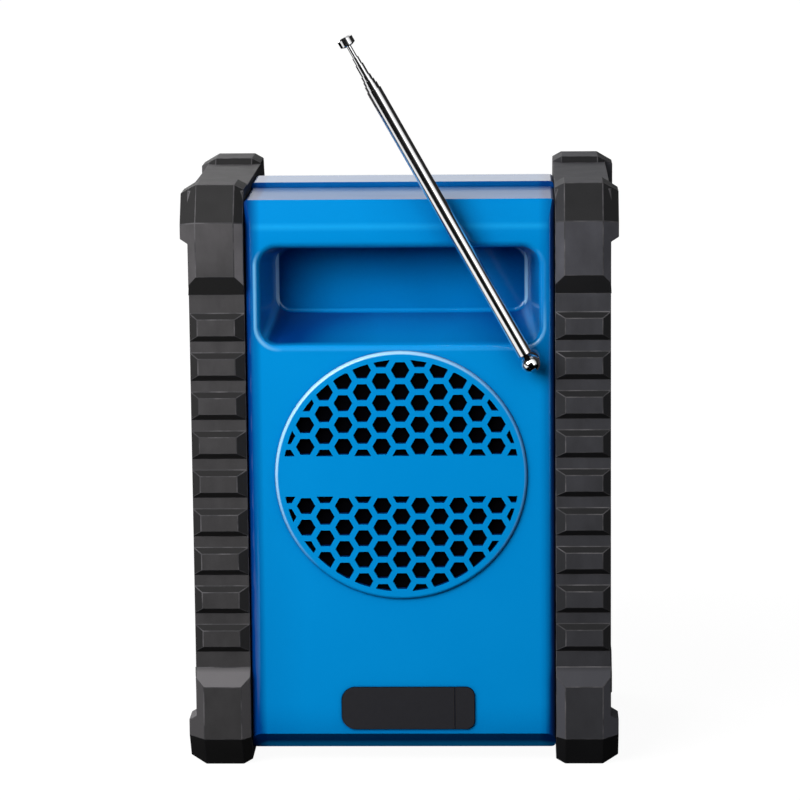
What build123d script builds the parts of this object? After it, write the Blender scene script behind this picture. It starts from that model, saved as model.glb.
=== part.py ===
"""Jobsite radio: a blue moulded housing between two rubber armour rings, with a
subwoofer and a port flap in the back, stereo speakers and a sloping control panel in
front, and a telescopic rod antenna on a swivel.

Millimetres. +Z up, the back faces +Y, the controls face -Y. The origin is under the
middle of the whole radio, at the height of its feet. Depths are counted from the back
face of the rubber corner blocks towards the front.
"""
import os
from math import atan2, cos, degrees, radians, sin, sqrt, tan

from build123d import *

os.makedirs("parts", exist_ok=True)

# ---------------------------------------------------------------- driving dimensions

# Rubber armour rings
ring_depth = 157.0            # back face to front face of the corner blocks
ring_height = 274.5
ring_width = 25.6             # inner edge of the flanges to the side of the shaft
cap_proud = 3.6               # corner caps, over the side of the shaft
valley_depth = 4.3            # base surface of the shaft, behind the block face
top_step = 3.0                # top and bottom spans lie this far inside the blocks
block_flat = (10.0, 33.0)     # flat top of a block, counted from its face
block_ramp = 3.0              # 45 degree end of a block's flat top
upper_block = (16.5, 41.5, 50.1)   # corner facet, face end and foot of the end facet
lower_block = (14.4, 39.5, 48.2)   # the same, counted up from the floor
upper_cap_end = 28.4          # where a corner cap ends, from the ring's corner
lower_cap_end = 27.5
outer_chamfer = (7.3, 4.1)    # width and depth at the cap's side
inner_chamfer = (4.3, 2.2)    # width and depth at the flange's inner edge
rib_count = 9
rib_pitch = 18.34
rib_face = 7.75
rib_rise = 2.7
rib_run = 2.6                 # top and bottom chamfer of a rib
rib_side_runs = (4.6, 3.8)    # inner and outer side chamfer of a rib
top_rib_edge = 205.3          # lower edge of the highest rib's face
flange_wall = 8.0             # rubber over the housing's cheeks, back, front, top, floor
window_band = (33.5, 36.0)    # rubber left round the side window, in depth and height
window_corner = 12.0

# Housing
wall = 2.8
seat_gap = 0.2                # rubber to housing
body_half = 71.2              # full-depth middle of the housing
side_wall = 9.0               # rubber over the cheeks' sides
edge_round = 5.0              # upright edges of the middle
rim_round = 2.0               # its edges that run from back to front
back_depth = 3.5
front_lip = 4.5               # front wall's face, inside the block faces
body_floor = 8.0
floor_chamfer = 8.4
cover_top = 267.9
front_top = 270.1
crease_height = 255.5
crease_lean = 1.8
slope_run = 66.5              # from the front wall back to where the flat top starts
panel_low_height = 214.0
parting_depth = 56.4
seal_thick = 0.8
seal_inset = 0.8
cheek_chamfer = (8.0, 12.0)

# Hand grip recess in the back
grip_inset = 3.95             # from the middle's side to the recess's side
grip_low = 197.9
grip_high = 248.9
grip_deep = 34.0
grip_lip = 3.4                # rounded edge all round the recess
grip_side_draft = 5.0
grip_floor_rise = 10.0
grip_ceiling_drop = 3.0
grip_corner = 8.0

# Subwoofer
sub_height = 139.6
sub_disc_r = 58.4
sub_disc_thick = 3.0
sub_disc_proud = 1.8
sub_hole_r = 54.6             # perforated circle
sub_seat_gap = 0.1
hex_flats = 7.5
hex_pitch = 10.2
band_half = 9.5
hex_first = 8.85              # height of the first hexagon of the middle column
cloth_thick = 0.6
sub_pad_r = 60.0
sub_pad_thick = 5.0
sub_open_r = 46.5
sub_flange_r = 52.0
sub_screw_r = 49.4
sub_cone_r = 43.5
sub_flange_thick = 1.4
sub_basket_deep = 26.0
sub_magnet_r = 35.0
sub_magnet_thick = 15.0
driver_screw_angles = (45, 135, 225, 315)
glue_gap = 0.1                # between the glued parts of a driver
small_screw_r = 1.3
small_screw_bite = 2.6
small_head = (2.6, 1.6)       # radius and height

# Rear ports
port_height = 28.8
port_recess_deep = 9.0
port_xs = (-20.5, 26.0)
port_half_high = 7.2
port_corner = 2.0
flap_xs = (-33.2, 28.7)       # anchored end and pull-tab end
flap_high = 19.8
flap_thick = 2.4
flap_proud = 1.0
flap_gap = 0.3
flap_corners = (4.0, 6.2)     # at the anchored end and at the pull tab
hinge_x = -24.1               # where the rubber bends
hinge_slit = 0.15
plug_wall = 1.6
plug_deep = 3.2
plug_far_gap = 0.8
anchor_pin_x = -29.6
anchor_pin_r = 2.0
dc_x = -13.5
aux_x = 3.0
usb_x = 17.0
dc_collar_r = 4.0
dc_bore_r = 2.9
dc_pin_r = 1.0
aux_collar_r = 3.3
aux_bore_r = 1.8
usb_size = (13.2, 5.8)
usb_shell = 0.5
usb_tongue = (10.6, 1.7)
jack_behind = 9.2             # from the recess's wall to the jack board
jack_bore_deep = 10.5
jack_body = (9.6, 9.6)
jack_post_xs = (-24.6, 30.1)
jack_board_margin = 5.0

# Front
grille_inset = 9.2            # from the middle's side to the grille's side
grille_heights = (58.0, 182.0)
grille_corner = 14.0
grille_thick = 3.0
grille_proud = 0.6
slot_count = 11
slot_pitch = 9.8
slot_high = 4.8
slot_margin = 8.0
slot_rib = 5.0
baffle_thick = 4.0
speaker_x = 31.5
speaker_height = 120.0
speaker_flange_r = 31.2
speaker_cone_r = 24.0
speaker_flange_thick = 1.2
speaker_basket_deep = 14.0
speaker_magnet_r = 17.0
speaker_magnet_thick = 9.0
speaker_screw_r = 28.6

# Control panel, measured from its middle: across, and up the slope
panel_size = (128.0, 74.0)
panel_corner = 3.0
panel_thick = 2.2
panel_ledge = 4.0
panel_frame_thick = 2.4
display_size = (60.0, 30.0)
display_at = (-26.0, 14.0)
lens_thick = 1.4
lens_ledge = 2.0
display_module_thick = 3.0
knob_at = (37.0, 4.0)
knob_r = 17.0
knob_high = 13.0
knob_lift = 0.5               # running gap under the knob
knob_flutes = 18
knob_flute_r = 1.1
encoder_body = (12.0, 6.0)
encoder_bush_r = 4.5
encoder_bush_high = 3.0
encoder_nut = (12.0, 2.0)
shaft_r = 3.0
shaft_fit = 0.05
shaft_high = 11.0
key_row = -22.8
key_size = (12.5, 8.0)
key_corner = 1.8
key_places = {
    "preset_button_1": -50.0,
    "preset_button_2": -34.0,
    "preset_button_3": -18.0,
    "preset_button_4": -2.0,
    "menu_button": 15.0,
    "source_button": 31.0,
}
power_x = 50.0
power_r = 5.5
button_rise = 1.6
button_travel = 0.6
button_gap = 0.3
button_flange = (1.25, 1.2)   # how far it stands out, and its thickness
button_stem_r = 2.0
board_drop = 10.0             # control board under the panel's face
board_thick = 1.6
switch_size = (6.0, 3.6)
panel_post_r = 2.0
panel_post_at = (56.5, 30.8)
control_board_size = (118.0, 66.0)

# Inside
post_r = 3.6
main_board_half = 58.0
main_board_heights = (66.0, 176.0)
board_to_front = 48.5         # main board's far face to the front wall's face
main_post_inset = 6.0
tuner_xs = (-44, -14)
tuner_heights = (128, 158)
tuner_high = 7.0
filter_xs = (-30, -10)
filter_height = 84.0
filter_r = 8.0
filter_high = 20.0
sink_xs = (8, 44)
sink_heights = (80, 104)
sink_high = 12.0
fin_slot = 3
fin_root = 4.0
cell_r = 9.2
cell_length = 65.0
cell_count = 4
cell_gap = 0.3
holder_wall = 1.8
holder_high = 14.0
battery_to_front = 7.0        # last cell's wall to the front wall's inside

# Fasteners
housing_screw_inset = 7.4     # from the cheek's side
housing_screw_heights = (34.0, 137.0, 240.0)
housing_boss_r = 5.2
screw_head_r = 3.4
screw_head_high = 2.6
screw_r = 1.9
screw_fit = 0.1
screw_seat = 8.0              # of its head, under the cheek's back face
screw_grip = 14.0             # in the front housing's boss

# Antenna: leans towards +X at rest
pivot_inset = 11.2            # from the middle's side
pivot_height = 193.1
pivot_standoff = 5.0          # behind the block face
antenna_lean = 29.25
head_r = 4.5
slot_wide = 2.5
slot_floor = 3.5              # from the pivot towards the housing
stub_r = 3.0
bush_r = 4.2
bush_fit = 0.05
bush_boss_r = 7.5
bush_boss_deep = 8.5
bush_flange = (6.3, 1.5)
clip_r = 4.6
clip_thick = 1.0
stub_tail = 2.0
pin_r = 1.0
eye_r = 3.2
eye_thick = 2.2
tongue_wide = 4.6
tongue_plug = 8.0
tube_r = 3.5
tube_wall = 0.3
tube_gap = 0.1                # radial, between one section and the next
foot_gap = 0.03               # radial, at the spring foot and the rolled mouth
foot_high = 3.0
mouth_high = 1.2
section_count = 7
tube_start = 5.3              # from the pivot
tube_end = 144.3
section_steps = (2.8, 2.0, 2.6, 5.8, 3.6, 5.8)   # what each section shows when pushed in
foot_stagger = 1.5
tip_r = 3.65
tip_high = 4.5

# ---------------------------------------------------------------- derived places

head_reach = sqrt(head_r ** 2 - (slot_wide / 2) ** 2)
ring_inner_x = body_half + seat_gap
ring_outer_x = ring_inner_x + ring_width
cap_outer_x = ring_outer_x + cap_proud
cheek_half = ring_outer_x - side_wall
grip_half = body_half - grip_inset
grille_half = body_half - grille_inset
housing_screw_x = cheek_half - housing_screw_inset
pivot = (pivot_inset - body_half, pivot_height)
rear_y = (ring_depth - pivot_standoff - head_reach) / 2
cheek_depths = (valley_depth + flange_wall, ring_depth - valley_depth - flange_wall)
cheek_floor = top_step + flange_wall
cheek_top = ring_height - top_step - flange_wall
front_depth = ring_depth - front_lip
panel_top_depth = front_depth - slope_run
main_board_depth = front_depth - board_to_front
inner_half = body_half - wall
cover_rim = parting_depth - seal_thick / 2
front_rim = parting_depth + seal_thick / 2
inside_back = back_depth + wall
inside_front = front_depth - wall
holder_deep = cell_count * (2 * cell_r + cell_gap) + cell_gap + 2 * holder_wall
battery_start = inside_front - battery_to_front - holder_deep
slope_angle = degrees(atan2(front_top - panel_low_height, front_depth - panel_top_depth))
sub_centre = (0, sub_height)
disc_depth = back_depth - sub_disc_proud
cloth_depth = disc_depth + sub_disc_thick
sub_seat_depth = cloth_depth + cloth_thick
sub_face_depth = sub_seat_depth + sub_pad_thick
port_floor = back_depth + port_recess_deep
port_heights = (port_height - port_half_high, port_height + port_half_high)
jack_wall_end = port_floor + wall
jack_board_depth = jack_wall_end + jack_behind
bush_boss_end = back_depth + bush_boss_deep
screw_places = [(side * housing_screw_x, height)
                for side in (-1, 1) for height in housing_screw_heights]
screw_seat_depth = cheek_depths[0] + screw_seat
grille_floor = front_depth + grille_proud - grille_thick
baffle_back = grille_floor - baffle_thick
main_posts = [(side * (main_board_half - main_post_inset), height)
              for side in (-1, 1)
              for height in (main_board_heights[0] + main_post_inset,
                             main_board_heights[1] - main_post_inset)]
panel_middle = ((panel_top_depth + front_depth) / 2, (front_top + panel_low_height) / 2)
panel_plane = Plane(origin=(0, rear_y - panel_middle[0], panel_middle[1]), x_dir=(1, 0, 0),
                    z_dir=(0, -sin(radians(slope_angle)), cos(radians(slope_angle))))
antenna_plane = Plane(origin=(pivot[0], rear_y + pivot_standoff, pivot[1]),
                      x_dir=(cos(radians(antenna_lean)), 0, -sin(radians(antenna_lean))),
                      z_dir=(sin(radians(antenna_lean)), 0, cos(radians(antenna_lean))))
switch_top = switch_size[1] - board_drop
shaft_low = encoder_body[1] - board_drop + 1.5
panel_posts = [(across * panel_post_at[0], up * panel_post_at[1])
               for across in (-1, 1) for up in (-1, 1)]
bush_end = bush_boss_end + bush_flange[1]


def side_face(outline, x, turn=1):
    """Face at x with a side-view outline of (depth, height) points, facing +X or -X."""
    plane = Plane(origin=(x, 0, 0), x_dir=(0, turn, 0), z_dir=(turn, 0, 0))
    points = [(turn * (rear_y - depth), height) for depth, height in outline]
    return plane * make_face(Polyline(*points, close=True))


def side_prism(outline, x_low, x_high):
    return extrude(side_face(outline, x_low), amount=x_high - x_low)


def wall_plane(depth):
    """Plane across the radio: x to the right, z up, pushed towards the front."""
    return Plane(origin=(0, rear_y - depth, 0), x_dir=(1, 0, 0), z_dir=(0, -1, 0))


def plan_plane(height):
    """Level plane: x to the right, depth upwards on it, pushed down."""
    return Plane(origin=(0, rear_y, height), x_dir=(1, 0, 0), z_dir=(0, 0, -1))


def slab(xs, depths, heights, corner=0.0):
    """Block between x, depth and height limits, its four depthwise edges rounded."""
    width = xs[1] - xs[0]
    tall = heights[1] - heights[0]
    outline = RectangleRounded(width, tall, corner) if corner else Rectangle(width, tall)
    middle = Pos((xs[0] + xs[1]) / 2, (heights[0] + heights[1]) / 2)
    return extrude(wall_plane(depths[0]) * middle * outline, amount=depths[1] - depths[0])


def disc(centre, radius, depth_low, depth_high, bore=0.0):
    """Round plate, or a ring, lying across the radio between two depths."""
    outline = Circle(radius) - Circle(bore) if bore else Circle(radius)
    face = wall_plane(depth_low) * Pos(*centre) * outline
    return extrude(face, amount=depth_high - depth_low)


def turned(centre, profile):
    """Solid turned about a depthwise axis from (radius, depth) points."""
    plane = Plane(origin=(centre[0], rear_y, centre[1]), x_dir=(1, 0, 0), z_dir=(0, 0, -1))
    face = plane * make_face(Polyline(*profile, close=True))
    return revolve(face, axis=Axis((centre[0], rear_y, centre[1]), (0, -1, 0)))


def save(name, *shapes):
    """Write one sub-part: a single solid, or a group of separate solids."""
    solids = [solid for shape in shapes for solid in shape.solids()]
    whole = solids[0] if len(solids) == 1 else Compound(children=solids)
    export_step(whole, f"parts/{name}.step")


# ---------------------------------------------------------------- armour rings

def keep(value):
    return value


def from_front(depth):
    return ring_depth - depth


def from_top(height):
    return ring_height - height


def placed(outline, depth_at, height_at):
    return [(depth_at(depth), height_at(height)) for depth, height in outline]


def block_outline(sizes):
    """Side view of a corner block, as distances from the ring's outer corner."""
    facet, face_end, foot = sizes
    flat_start, flat_end = block_flat
    ramp_end = flat_end + block_ramp
    return [
        (valley_depth, foot),
        (0, face_end),
        (0, facet),
        (flat_start, 0),
        (flat_end, 0),
        (ramp_end, top_step),
        (ramp_end, foot),
    ]


def cap_outline(sizes, end):
    """Side view of a corner cap, the widest part of a block."""
    facet = sizes[0]
    flat_start, flat_end = block_flat
    return [
        (0, end),
        (0, facet),
        (flat_start, 0),
        (flat_end, 0),
        (flat_end, facet),
        (flat_end - end + facet, end),
    ]


def bevelled_prism(outline, x_from, x_to, bevel):
    """Prism along X whose far end shrinks by the (width, depth) of a bevel."""
    turn = 1 if x_to > x_from else -1
    x_bevel = x_to - turn * bevel[0]
    taper = degrees(atan2(bevel[1], bevel[0]))
    straight = extrude(side_face(outline, x_from, turn), amount=abs(x_bevel - x_from))
    return straight + extrude(side_face(outline, x_bevel, turn), amount=bevel[0], taper=taper)


def rib(depth_at):
    """Raised pad across the shaft, sloping on all four sides."""
    low = top_rib_edge
    high = top_rib_edge + rib_face
    face_depth = valley_depth - rib_rise
    side_view = [
        (valley_depth + 1, low - rib_run),
        (valley_depth, low - rib_run),
        (face_depth, low),
        (face_depth, high),
        (valley_depth, high + rib_run),
        (valley_depth + 1, high + rib_run),
    ]
    plan = [
        (ring_inner_x, valley_depth + 1),
        (ring_inner_x, valley_depth),
        (ring_inner_x + rib_side_runs[0], face_depth),
        (ring_outer_x - rib_side_runs[1], face_depth),
        (ring_outer_x, valley_depth),
        (ring_outer_x, valley_depth + 1),
    ]
    points = [(x, -depth_at(depth)) for x, depth in plan]
    across = extrude(Plane(origin=(0, rear_y, low - rib_run)) * make_face(Polyline(*points, close=True)),
                     amount=rib_face + 2 * rib_run)
    along = side_prism(placed(side_view, depth_at, keep), ring_inner_x, ring_outer_x)
    return across & along


def cheek_outline(grow, depth_low=0.0, depth_high=ring_depth):
    """Side view of the housing's cheeks, with their long corners cut off."""
    back = cheek_depths[0] - grow
    front = cheek_depths[1] + grow
    low = cheek_floor - grow
    high = cheek_top + grow
    cut, rise = cheek_chamfer
    outline = []
    if depth_low < back:
        outline += [(back + cut, low), (back, low + rise), (back, high - rise), (back + cut, high)]
    else:
        outline += [(depth_low, low), (depth_low, high)]
    if depth_high > front:
        outline += [(front - cut, high), (front, high - rise), (front, low + rise), (front - cut, low)]
    else:
        outline += [(depth_high, high), (depth_high, low)]
    return outline


def armour_ring():
    """Right-hand ring: ribbed shaft, four corner blocks, channel and side window."""
    middle_x = (ring_inner_x + ring_outer_x) / 2
    shaft = [
        (block_flat[0], top_step),
        (valley_depth, lower_block[0]),
        (valley_depth, ring_height - upper_block[0]),
        (block_flat[0], ring_height - top_step),
        (ring_depth - block_flat[0], ring_height - top_step),
        (ring_depth - valley_depth, ring_height - upper_block[0]),
        (ring_depth - valley_depth, lower_block[0]),
        (ring_depth - block_flat[0], top_step),
    ]
    shaft_bevel = (ring_outer_x + outer_chamfer[0] - cap_outer_x,
                   (ring_outer_x + outer_chamfer[0] - cap_outer_x) * outer_chamfer[1] / outer_chamfer[0])
    ring = side_prism(shaft, ring_inner_x, ring_outer_x)
    for depth_at in (keep, from_front):
        for sizes, end, height_at in ((upper_block, upper_cap_end, from_top),
                                      (lower_block, lower_cap_end, keep)):
            outline = placed(block_outline(sizes), depth_at, height_at)
            ring += bevelled_prism(outline, middle_x, ring_outer_x, shaft_bevel)
            ring += bevelled_prism(outline, middle_x, ring_inner_x, inner_chamfer)
            cap = placed(cap_outline(sizes, end), depth_at, height_at)
            ring += bevelled_prism(cap, middle_x, cap_outer_x, outer_chamfer)
        first = rib(depth_at)
        ring += [Pos(0, 0, -step * rib_pitch) * first for step in range(rib_count)]
    ring -= side_prism(cheek_outline(seat_gap), ring_inner_x - 1, cheek_half + seat_gap)
    side = Plane(origin=(cheek_half, rear_y - ring_depth / 2, ring_height / 2),
                 x_dir=(0, 1, 0), z_dir=(1, 0, 0))
    window = RectangleRounded(ring_depth - 2 * window_band[0], ring_height - 2 * window_band[1],
                              window_corner)
    return ring - extrude(side * window, amount=cap_outer_x)


# ---------------------------------------------------------------- housing

def rim_corner(inset):
    """Rounding of the middle's back-to-front edges, that far inside its faces."""
    return max(rim_round - inset, 0)


def middle_body(outline, half, heights, depths, inset):
    """Full-depth middle of the housing, or its inside: a side view with rounded long edges."""
    body = side_prism(outline, -half, half)
    plan = plan_plane(heights[1]) * Pos(0, (depths[0] + depths[1]) / 2)
    plan_view = plan * RectangleRounded(2 * half, depths[1] - depths[0], edge_round - inset)
    body &= extrude(plan_view, amount=heights[1] - heights[0])
    return body & slab((-half, half), depths, heights, rim_corner(inset))


def cover_outline(inset, end):
    """Side view of the rear cover's middle: creased back and cut-off lower edge."""
    corner_shift = inset * tan(radians(22.5))
    back = back_depth + inset
    return [
        (back, body_floor + floor_chamfer + corner_shift),
        (back, crease_height),
        (back + crease_lean, cover_top - inset),
        (end, cover_top - inset),
        (end, body_floor + inset),
        (back_depth + floor_chamfer + corner_shift, body_floor + inset),
    ]


def front_outline(inset, start):
    """Side view of the front housing's middle: flat top, slope and upright front."""
    corner_shift = inset * tan(radians(22.5))
    top_shift = inset * tan(radians(slope_angle / 2))
    brow_shift = inset * tan(radians((90 - slope_angle) / 2))
    front = front_depth - inset
    return [
        (start, body_floor + inset),
        (start, front_top - inset),
        (panel_top_depth - top_shift, front_top - inset),
        (front, panel_low_height - brow_shift),
        (front, body_floor + floor_chamfer + corner_shift),
        (front_depth - floor_chamfer - corner_shift, body_floor + inset),
    ]


def grip_block(grow, depth_low):
    """Tapered block of the hand recess: its hollow, or with grow its outside."""
    lip_depth = back_depth + grip_lip
    back = back_depth + grip_deep + grow

    def drawn(value, draft, depth):
        return value + draft * (depth - lip_depth) / (grip_deep - grip_lip)

    half = grip_half - grip_lip + grow
    low = grip_low + grip_lip - grow
    high = grip_high - grip_lip + grow
    side_view = [
        (depth_low, drawn(low, grip_floor_rise, depth_low)),
        (back, drawn(low, grip_floor_rise, back)),
        (back, drawn(high, -grip_ceiling_drop, back)),
        (depth_low, drawn(high, -grip_ceiling_drop, depth_low)),
    ]
    near = drawn(half, -grip_side_draft, depth_low)
    far = drawn(half, -grip_side_draft, back)
    plan = [(-near, depth_low), (-far, back), (far, back), (near, depth_low)]
    top = high + grip_lip
    bottom = low - 2 * grip_lip
    block = side_prism(side_view, -body_half, body_half)
    block &= extrude(plan_plane(top) * make_face(Polyline(*plan, close=True)), amount=top - bottom)
    depthwise = [edge for edge in block.edges() if abs(edge.tangent_at(0.5).Y) > 0.8]
    return fillet(depthwise, grip_corner + grow)


def grip_flare():
    """Space that rounds the recess's edge over, all the way round."""
    half = grip_half
    tall = grip_high - grip_low
    centre = Pos(0, (grip_low + grip_high) / 2)
    corner = grip_corner + grip_lip
    outline = RectangleRounded(2 * half, tall, corner)
    mouth = extrude(wall_plane(back_depth - sub_disc_proud) * centre * outline,
                    amount=sub_disc_proud + grip_lip)
    path = (wall_plane(back_depth + grip_lip) * centre * outline).wires()[0]
    section = Plane(origin=path @ 0, z_dir=path % 0) * Circle(grip_lip)
    return mouth - sweep(section, path=path)


def flap_outline(grow, depth_low, depth_high):
    """Outline of the port flap with its anchor, as a plate between two depths."""
    long = flap_xs[1] - flap_xs[0] + 2 * grow
    plate = Pos((flap_xs[0] + flap_xs[1]) / 2, port_height) * Rectangle(long, flap_high + 2 * grow)
    corners = plate.vertices().sort_by(Axis.X)
    plate = fillet(corners[:2], flap_corners[0] + grow)
    plate = fillet(plate.vertices().sort_by(Axis.X)[-2:], flap_corners[1] + grow)
    return extrude(wall_plane(depth_low) * plate, amount=depth_high - depth_low)


def around(centre, radius, angles):
    return [(centre[0] + radius * cos(radians(angle)), centre[1] + radius * sin(radians(angle)))
            for angle in angles]


def usb_block(grow, depth_low, depth_high):
    wide, tall = usb_size
    return slab((usb_x - wide / 2 - grow, usb_x + wide / 2 + grow), (depth_low, depth_high),
                (port_height - tall / 2 - grow, port_height + tall / 2 + grow))


def rear_cover():
    """Back half of the housing with its recess, speaker seat and port recess."""
    beyond = front_depth + edge_round
    cover = middle_body(cover_outline(0, cover_rim), body_half, (body_floor, cover_top),
                        (back_depth, beyond), 0)
    cover += side_prism(cheek_outline(0, depth_high=cover_rim), -cheek_half, cheek_half)
    hollow = middle_body(cover_outline(wall, cover_rim + 1), inner_half,
                         (body_floor + wall, cover_top - wall), (inside_back, beyond), wall)
    hollow += side_prism(cheek_outline(-wall, depth_high=cover_rim + 1),
                         wall - cheek_half, cheek_half - wall)
    hollow -= grip_block(wall, inside_back - wall / 2)
    hollow -= disc(sub_centre, sub_pad_r, 0, sub_face_depth)
    hollow -= slab((port_xs[0] - wall, port_xs[1] + wall), (0, jack_wall_end),
                   (body_floor, port_heights[1] + wall))
    hollow -= disc(pivot, bush_boss_r, 0, bush_boss_end)
    hollow -= [disc(place, housing_boss_r, 0, cover_rim + 1) for place in screw_places]
    hollow -= [disc((x, port_height), post_r, 0, jack_board_depth) for x in jack_post_xs]
    cover -= hollow
    cover -= grip_block(0, 0) + grip_flare()
    cover -= disc(sub_centre, sub_disc_r + sub_seat_gap, 0, sub_seat_depth)
    cover -= disc(sub_centre, sub_open_r, 0, sub_face_depth + 1)
    cover -= flap_outline(flap_gap, 0, back_depth + flap_thick - flap_proud)
    cover -= slab(port_xs, (0, port_floor), port_heights, port_corner)
    cover -= disc((dc_x, port_height), dc_collar_r + seat_gap, 0, jack_wall_end + 1)
    cover -= disc((aux_x, port_height), aux_collar_r + seat_gap, 0, jack_wall_end + 1)
    cover -= usb_block(seat_gap, 0, jack_wall_end + 1)
    cover -= disc((anchor_pin_x, port_height), anchor_pin_r + bush_fit, 0, jack_wall_end)
    cover -= disc(pivot, bush_r + bush_fit, 0, bush_boss_end + 1)
    cover -= [disc(place, screw_head_r + screw_fit, 0, screw_seat_depth) for place in screw_places]
    cover -= [disc(place, screw_r + screw_fit, 0, cover_rim + 1) for place in screw_places]
    cover -= [disc(place, small_screw_r, sub_face_depth - small_screw_bite, sub_face_depth + 1)
              for place in around(sub_centre, sub_screw_r, driver_screw_angles)]
    cover -= [disc((x, port_height), small_screw_r, jack_board_depth - small_screw_bite,
                   jack_board_depth + 1) for x in jack_post_xs]
    return cover


def panel_block(size, top, bottom, corner=0.0, at=(0, 0)):
    """Block standing on the panel's plane, between two heights over its face."""
    outline = RectangleRounded(*size, corner) if corner else Rectangle(*size)
    return panel_plane.location * Pos(at[0], at[1], bottom) * extrude(outline, amount=top - bottom)


def front_housing():
    """Front half with its sloping top, speaker baffle and bosses."""
    housing = middle_body(front_outline(0, front_rim), body_half, (body_floor, front_top),
                          (-edge_round, front_depth), 0)
    for low, high in ((-cheek_half, -body_half), (body_half, cheek_half)):
        housing += side_prism(cheek_outline(0, depth_low=front_rim), low, high)
    behind_flange = front_rim + wall
    hollow = middle_body(front_outline(wall, behind_flange), inner_half,
                         (body_floor + wall, front_top - wall), (-edge_round, inside_front), wall)
    hollow += slab((-inner_half, inner_half), (front_rim - 1, behind_flange + 1),
                   (body_floor + wall, cover_top - wall), rim_corner(wall))
    cheek_inside = cheek_outline(-wall, depth_low=front_rim - 1)
    for low, high in ((wall - cheek_half, -body_half - wall), (body_half + wall, cheek_half - wall)):
        hollow += side_prism(cheek_inside, low, high)
    passage_half = body_half + wall + 1
    hollow += (side_prism(cheek_inside, -passage_half, passage_half)
               & side_prism(front_outline(wall, front_rim - 1), -passage_half, passage_half))
    grille_xs = (-grille_half - wall, grille_half + wall)
    hollow -= slab(grille_xs, (baffle_back, front_depth),
                   (grille_heights[0] - wall, grille_heights[1] + wall))
    frame_size = (panel_size[0] + 2 * wall, panel_size[1] + 2 * wall)
    hollow -= panel_block(frame_size, 0, -panel_thick - panel_frame_thick)
    hollow -= [disc(place, post_r, main_board_depth + board_thick, front_depth)
               for place in main_posts]
    hollow -= [disc(place, housing_boss_r, front_rim - 1, front_rim + screw_grip + wall)
               for place in screw_places]
    housing -= hollow
    seat = (panel_size[0] + 2 * seat_gap, panel_size[1] + 2 * seat_gap)
    housing -= panel_block(seat, 1, -panel_thick, panel_corner + seat_gap)
    opening = (panel_size[0] - 2 * panel_ledge, panel_size[1] - 2 * panel_ledge)
    housing -= panel_block(opening, 1, -panel_thick - panel_frame_thick - 1)
    housing -= slab((-grille_half - seat_gap, grille_half + seat_gap), (grille_floor, ring_depth),
                    (grille_heights[0] - seat_gap, grille_heights[1] + seat_gap),
                    grille_corner + seat_gap)
    for side in (-1, 1):
        centre = (side * speaker_x, speaker_height)
        housing -= disc(centre, speaker_cone_r + 1, baffle_back - 1, ring_depth)
        housing -= [disc(place, small_screw_r, baffle_back - 1, baffle_back + small_screw_bite)
                    for place in around(centre, speaker_screw_r, driver_screw_angles)]
    main_screw_start = main_board_depth + board_thick - 1
    housing -= [disc(place, small_screw_r, main_screw_start, main_screw_start + small_screw_bite + 1)
                for place in main_posts]
    housing -= [disc(place, screw_r, front_rim - 1, front_rim + screw_grip)
                for place in screw_places]
    return housing


def rim_area(inset):
    """Area inside the housing's outline at the parting line, as thick as the seal."""
    depths = (cover_rim, front_rim)
    area = slab((inset - body_half, body_half - inset), depths,
                (body_floor + inset, cover_top - inset), rim_corner(inset))
    return area + slab((inset - cheek_half, cheek_half - inset), depths,
                       (cheek_floor + inset, cheek_top - inset))


def housing_seal():
    bosses = [disc(place, screw_r + screw_fit, cover_rim, front_rim) for place in screw_places]
    return rim_area(seal_inset) - rim_area(wall) - bosses


# ---------------------------------------------------------------- speakers

def subwoofer_grille():
    """Round grille: hexagonal holes above and below a plain band."""
    column_pitch = hex_pitch * sqrt(3) / 2
    corner_r = hex_flats / sqrt(3)
    columns = int(sub_hole_r // column_pitch) + 1
    rows = int(sub_hole_r // hex_pitch) + 1
    hexagon = RegularPolygon(corner_r, 6)
    holes = Sketch()
    for column in range(-columns, columns + 1):
        first = hex_first + (hex_pitch / 2 if column % 2 else 0)
        for row in range(rows):
            height = first + row * hex_pitch
            holes += [Pos(column * column_pitch, side * height) * hexagon for side in (-1, 1)]
    holes &= Circle(sub_hole_r)
    holes -= Rectangle(2 * sub_disc_r, 2 * band_half)
    plate = disc(sub_centre, sub_disc_r, disc_depth, cloth_depth)
    rim = plate.edges().sort_by(Axis.Y)[-1]
    plate = fillet(rim, sub_disc_proud - seat_gap)
    return plate - extrude(wall_plane(disc_depth - 1) * Pos(*sub_centre) * holes,
                           amount=sub_disc_thick + 2)


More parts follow.
